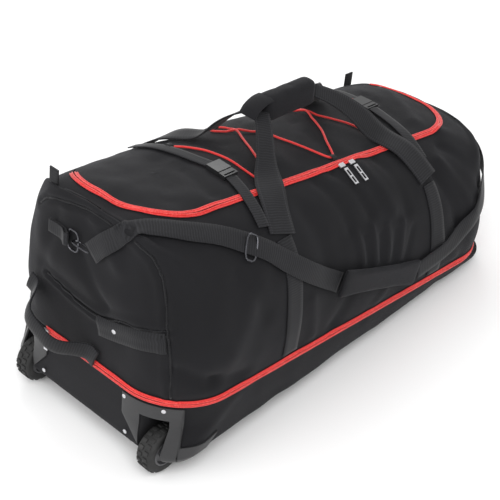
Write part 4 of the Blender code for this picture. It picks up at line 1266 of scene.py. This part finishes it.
CORD_ROUTE = (
    (-0.192, 0.080), (-0.174, 0.062), (-0.155, 0.034), (-0.147, -0.008), (-0.144, -0.050),
    (-0.139, -0.078), (-0.126, -0.086), (-0.114, -0.072), (-0.092, -0.030), (-0.066, 0.022),
    (-0.046, 0.066), (-0.044, 0.098), (-0.058, 0.110), (-0.074, 0.100), (-0.062, 0.080),
    (-0.042, 0.062, 1), (-0.014, 0.032), (0.006, -0.004), (0.018, -0.038), (0.031, -0.074),
    (0.045, -0.090), (0.060, -0.082), (0.082, -0.048), (0.112, -0.004), (0.136, 0.050),
    (0.142, 0.098), (0.130, 0.122), (0.112, 0.116), (0.116, 0.092), (0.138, 0.056, 1),
    (0.164, 0.014), (0.184, -0.036), (0.194, -0.078), (0.206, -0.092), (0.219, -0.078),
    (0.232, -0.036), (0.241, 0.010), (0.250, 0.042), (0.259, 0.062),
)
ANCHORS = ((-0.126, -0.088), (0.047, -0.092), (0.207, -0.094), (-0.196, 0.086), (-0.056, 0.112),
           (0.128, 0.124))


class DUFFEL_OT_lacing(bpy.types.Operator):
    """Laces the elastic cord over the lid, with its sewn loops"""

    bl_idname = "duffel.lacing"
    bl_label = "Lacing"

    def execute(self, context):
        overs = [Vector((p[0], p[1], 0.0)) for p in CORD_ROUTE if len(p) > 2]
        line = []
        for p in smooth_path([(p[0], p[1], 0.0) for p in CORD_ROUTE], 0.006):
            hump = max(0.0, 1 - min((p - over).length for over in overs) / 0.022)
            line.append(dropped(TREES["lid"], p.x, p.y, 0.0034 + 0.0046 * hump ** 0.8))
        finish_mesh("elastic_lacing", tube(line, sizes().cord_radius, 10), "red braided cord",
                    "lid", "bungee", ("lacing_cord",))
        for side, bend in ((-1, -0.010), (1, 0.012)):
            start = (0.260 + side * 0.0022, 0.064)
            flat = smooth_path([(*start, 0.0), (start[0] + side * 0.010, 0.050, 0.0),
                                (start[0] + side * 0.012 + bend, 0.028, 0.0),
                                (start[0] + side * 0.020 + bend, 0.010, 0.0)], 0.002)
            ends = [dropped(TREES["all"], p.x, p.y, 0.0052) for p in flat]
            side_name = "left" if side < 0 else "right"
            tip = bmesh.new()
            onward = (ends[-1] - ends[-3]).normalized()
            rod(tip, ends[-1], ends[-1] + onward * 0.009, 0.0029, 16, 0.0006)
            capped = finish_mesh(f"cord_tip_{side_name}", tip, "buckle plastic", "lid",
                                 "buckle_plastic")
            loose = finish_mesh(f"cord_end_{side_name}", tube(ends, sizes().cord_radius, 10),
                                "red braided cord", "lid", "bungee")
            STAND @ ends[0]
            lengths_along(ends)[-1]
            [STAND @ p for p in ends]
        for index, (x, y) in enumerate(ANCHORS):
            out = -1 if y < 0 else 1
            loop = [dropped(TREES["lid"], x, y + out * 0.008 * math.cos(t),
                            0.0024 + 0.0052 * math.sin(t)) for t in spread(0.0, math.pi, 9)]
            flat_ribbon(f"lacing_loop_{index}", loop, Vector((1, 0, 0)), 0.010, "binding", "lid",
                        (), 0.0010)
        return {"FINISHED"}


STRAP_WHEEL_SIDE = (
    (-0.4550, -0.018, 0.391, (0, 0.15, 1)), (-0.4520, -0.046, 0.420, (0.15, 0.35, 0.9)),
    (-0.4370, -0.076, 0.447, (0.55, 0.50, 0.55)), (-0.4130, -0.098, 0.458, (0.78, 0.50, 0.34)),
    (-0.3690, -0.128, 0.450, (0.60, 0.60, 0.36)), (-0.3150, -0.151, 0.434, (0.40, 0.62, 0.52)),
    (-0.2590, -0.175, 0.407, (0.40, 0.50, 0.65)), (-0.1860, -0.206, 0.357, (0.35, 0.35, 0.85)),
    (-0.1200, -0.226, 0.314, (0.3, 0.12, 0.95)), (-0.0640, -0.232, 0.279, (0.25, 0.03, 1.0)),
)
STRAP_FAR_SIDE = (
    (0.1700, -0.235, 0.209, (-0.2, 0, 1)), (0.2400, -0.235, 0.222, (-0.25, 0, 1)),
    (0.3100, -0.235, 0.249, (-0.3, 0, 1)), (0.3700, -0.226, 0.280, (-0.3, -0.1, 1)),
    (0.4250, -0.185, 0.310, (-0.2, -0.1, 1)), (0.4550, -0.125, 0.332, (0, -0.2, 1)),
    (0.4600, -0.075, 0.346, (0, -0.2, 1)), (0.4600, -0.040, 0.352, (0, -0.1, 1)),
)
PAD_START, PAD_END = Vector((-0.066, -0.2372, 0.281)), Vector((0.164, -0.2372, 0.210))


class DUFFEL_OT_shoulder_strap(bpy.types.Operator):
    """Builds the shoulder strap and its pad"""

    bl_idname = "duffel.shoulder_strap"
    bl_label = "Shoulder strap"

    def execute(self, context):
        for name, places in (("wheel_end", STRAP_WHEEL_SIDE), ("far_end", STRAP_FAR_SIDE)):
            webbing(f"shoulder_webbing_{name}", TREES["all"], [p[:3] for p in places],
                    sizes().strap_width, "bag", (f"shoulder_strap_{name}",), lift=0.0075,
                    across=[p[3] for p in places], finish="strap webbing")
        way = (PAD_END - PAD_START).normalized()
        out = Vector((0, -1, 0))
        up = out.cross(way)
        if up.z < 0:
            up = -up
        turn = Matrix((way, up, way.cross(up))).transposed().to_4x4()
        depth = 1 if way.cross(up).y < 0 else -1
        bm = bmesh.new()
        box(bm, (PAD_MARGIN, -PAD_HALF_WIDTH, min(0.0, PAD_THICKNESS * depth)),
            ((PAD_END - PAD_START).length - PAD_MARGIN, PAD_HALF_WIDTH,
             max(0.0, PAD_THICKNESS * depth)), 0.0032, 3, Matrix.Translation(PAD_START) @ turn)
        swell("shoulder_strap_pad", bm, "pocket cloth", "bag", ("shoulder_pad",), 2.5, 0.003,
              0.0040)
        return {"FINISHED"}


class DUFFEL_OT_stage(bpy.types.Operator):
    """Adds the pale floor, the soft lights and the camera"""

    bl_idname = "duffel.stage"
    bl_label = "Stage"

    def execute(self, context):
        scene = context.scene
        bm = bmesh.new()
        bmesh.ops.create_grid(bm, x_segments=1, y_segments=1, size=30.0)
        bmesh.ops.translate(bm, vec=(0, 0, -0.0005), verts=bm.verts)
        mesh = bpy.data.meshes.new("floor")
        bm.to_mesh(mesh)
        bm.free()
        floor = bpy.data.objects.new("floor", mesh)
        scene.collection.objects.link(floor)
        paper = Finish("floor paper")
        paper.surface(color=(0.93, 0.93, 0.93, 1.0), roughness=0.9, specular=0.1)
        mesh.materials.append(bpy.data.materials["floor paper"])
        world = bpy.data.worlds.new("studio")
        world.use_nodes = True
        world.node_tree.nodes["Background"].inputs["Color"].default_value = (1.0, 1.0, 1.0, 1.0)
        world.node_tree.nodes["Background"].inputs["Strength"].default_value = 0.85
        scene.world = world
        for name, place, size, power in (
                ("key light", (-1.2, -1.6, 2.6), 1.8, 42.0),
                ("fill light", (-2.4, 0.6, 1.6), 1.6, 18.0),
                ("back light", (1.4, 1.8, 2.2), 1.6, 26.0)):
            lamp = bpy.data.lights.new(name, "AREA")
            lamp.size, lamp.energy = size, power
            light = bpy.data.objects.new(name, lamp)
            light.location = place
            light.rotation_mode = "QUATERNION"
            aim = Vector((0, 0, 0.15)) - Vector(place)
            light.rotation_quaternion = aim.to_track_quat("-Z", "Y")
            scene.collection.objects.link(light)
        lens = bpy.data.cameras.new("camera")
        lens.lens, lens.sensor_width = 102.45, 36.0
        camera = bpy.data.objects.new("camera", lens)
        camera.location = (-1.5512, -1.4691, 1.8639)
        camera.rotation_mode = "QUATERNION"
        aim = Vector((-0.0286, 0.0175, 0.1444)) - camera.location
        camera.rotation_quaternion = aim.to_track_quat("-Z", "Y")
        scene.collection.objects.link(camera)
        scene.camera = camera
        scene.view_settings.view_transform = "Standard"
        return {"FINISHED"}


OPERATORS = (
    DUFFEL_OT_finishes, DUFFEL_OT_body, DUFFEL_OT_wheels, DUFFEL_OT_zippers, DUFFEL_OT_webbing,
    DUFFEL_OT_handles, DUFFEL_OT_lacing, DUFFEL_OT_shoulder_strap, DUFFEL_OT_stage,
)


class DUFFEL_PT_panel(bpy.types.Panel):
    """Sizes, colours and build steps of the duffel bag"""

    bl_idname = "DUFFEL_PT_panel"
    bl_label = "Duffel"
    bl_space_type = "VIEW_3D"
    bl_region_type = "UI"
    bl_category = "Duffel"

    def draw(self, context):
        for group in (context.scene.duffel_sizes, context.scene.duffel_colors):
            for key in group.bl_rna.properties.keys():
                if key not in {"rna_type", "name"}:
                    self.layout.prop(group, key)
        for operator in OPERATORS:
            self.layout.operator(operator.bl_idname)


CLASSES = (DuffelSizes, DuffelColors, *OPERATORS, DUFFEL_PT_panel)


def register():
    for made in CLASSES:
        bpy.utils.register_class(made)
    bpy.types.Scene.duffel_sizes = bpy.props.PointerProperty(type=DuffelSizes)
    bpy.types.Scene.duffel_colors = bpy.props.PointerProperty(type=DuffelColors)


def unregister():
    del bpy.types.Scene.duffel_sizes, bpy.types.Scene.duffel_colors
    for made in reversed(CLASSES):
        bpy.utils.unregister_class(made)


def main():
    register()
    for step in ("finishes", "body", "wheels", "zippers", "webbing", "handles", "lacing",
                 "shoulder_strap", "stage"):
        if getattr(bpy.ops.duffel, step)() != {"FINISHED"}:
            raise RuntimeError(f"{step} did not finish")
    looks = {
        "buckle plastic": ("buckle_left_socket", "buckle_left_plug", "buckle_right_socket",
                           "buckle_right_plug", "cord_lock_body", "cord_lock_button"),
        "nickel": ("top_slider_left", "top_slider_right", "top_pull_left", "top_pull_right",
                   "base_slider", "base_pull"),
        "dark nickel": ("d_ring_wheel_end", "d_ring_far_end", "tri_glide", "snap_hook_wheel_end",
                        "snap_hook_far_end"),
    }
    for finish, nodes in looks.items():
        for node in nodes:
            for slot in NODES[node].material_slots:
                slot.material = bpy.data.materials[finish]


if __name__ == "__main__":
    main()
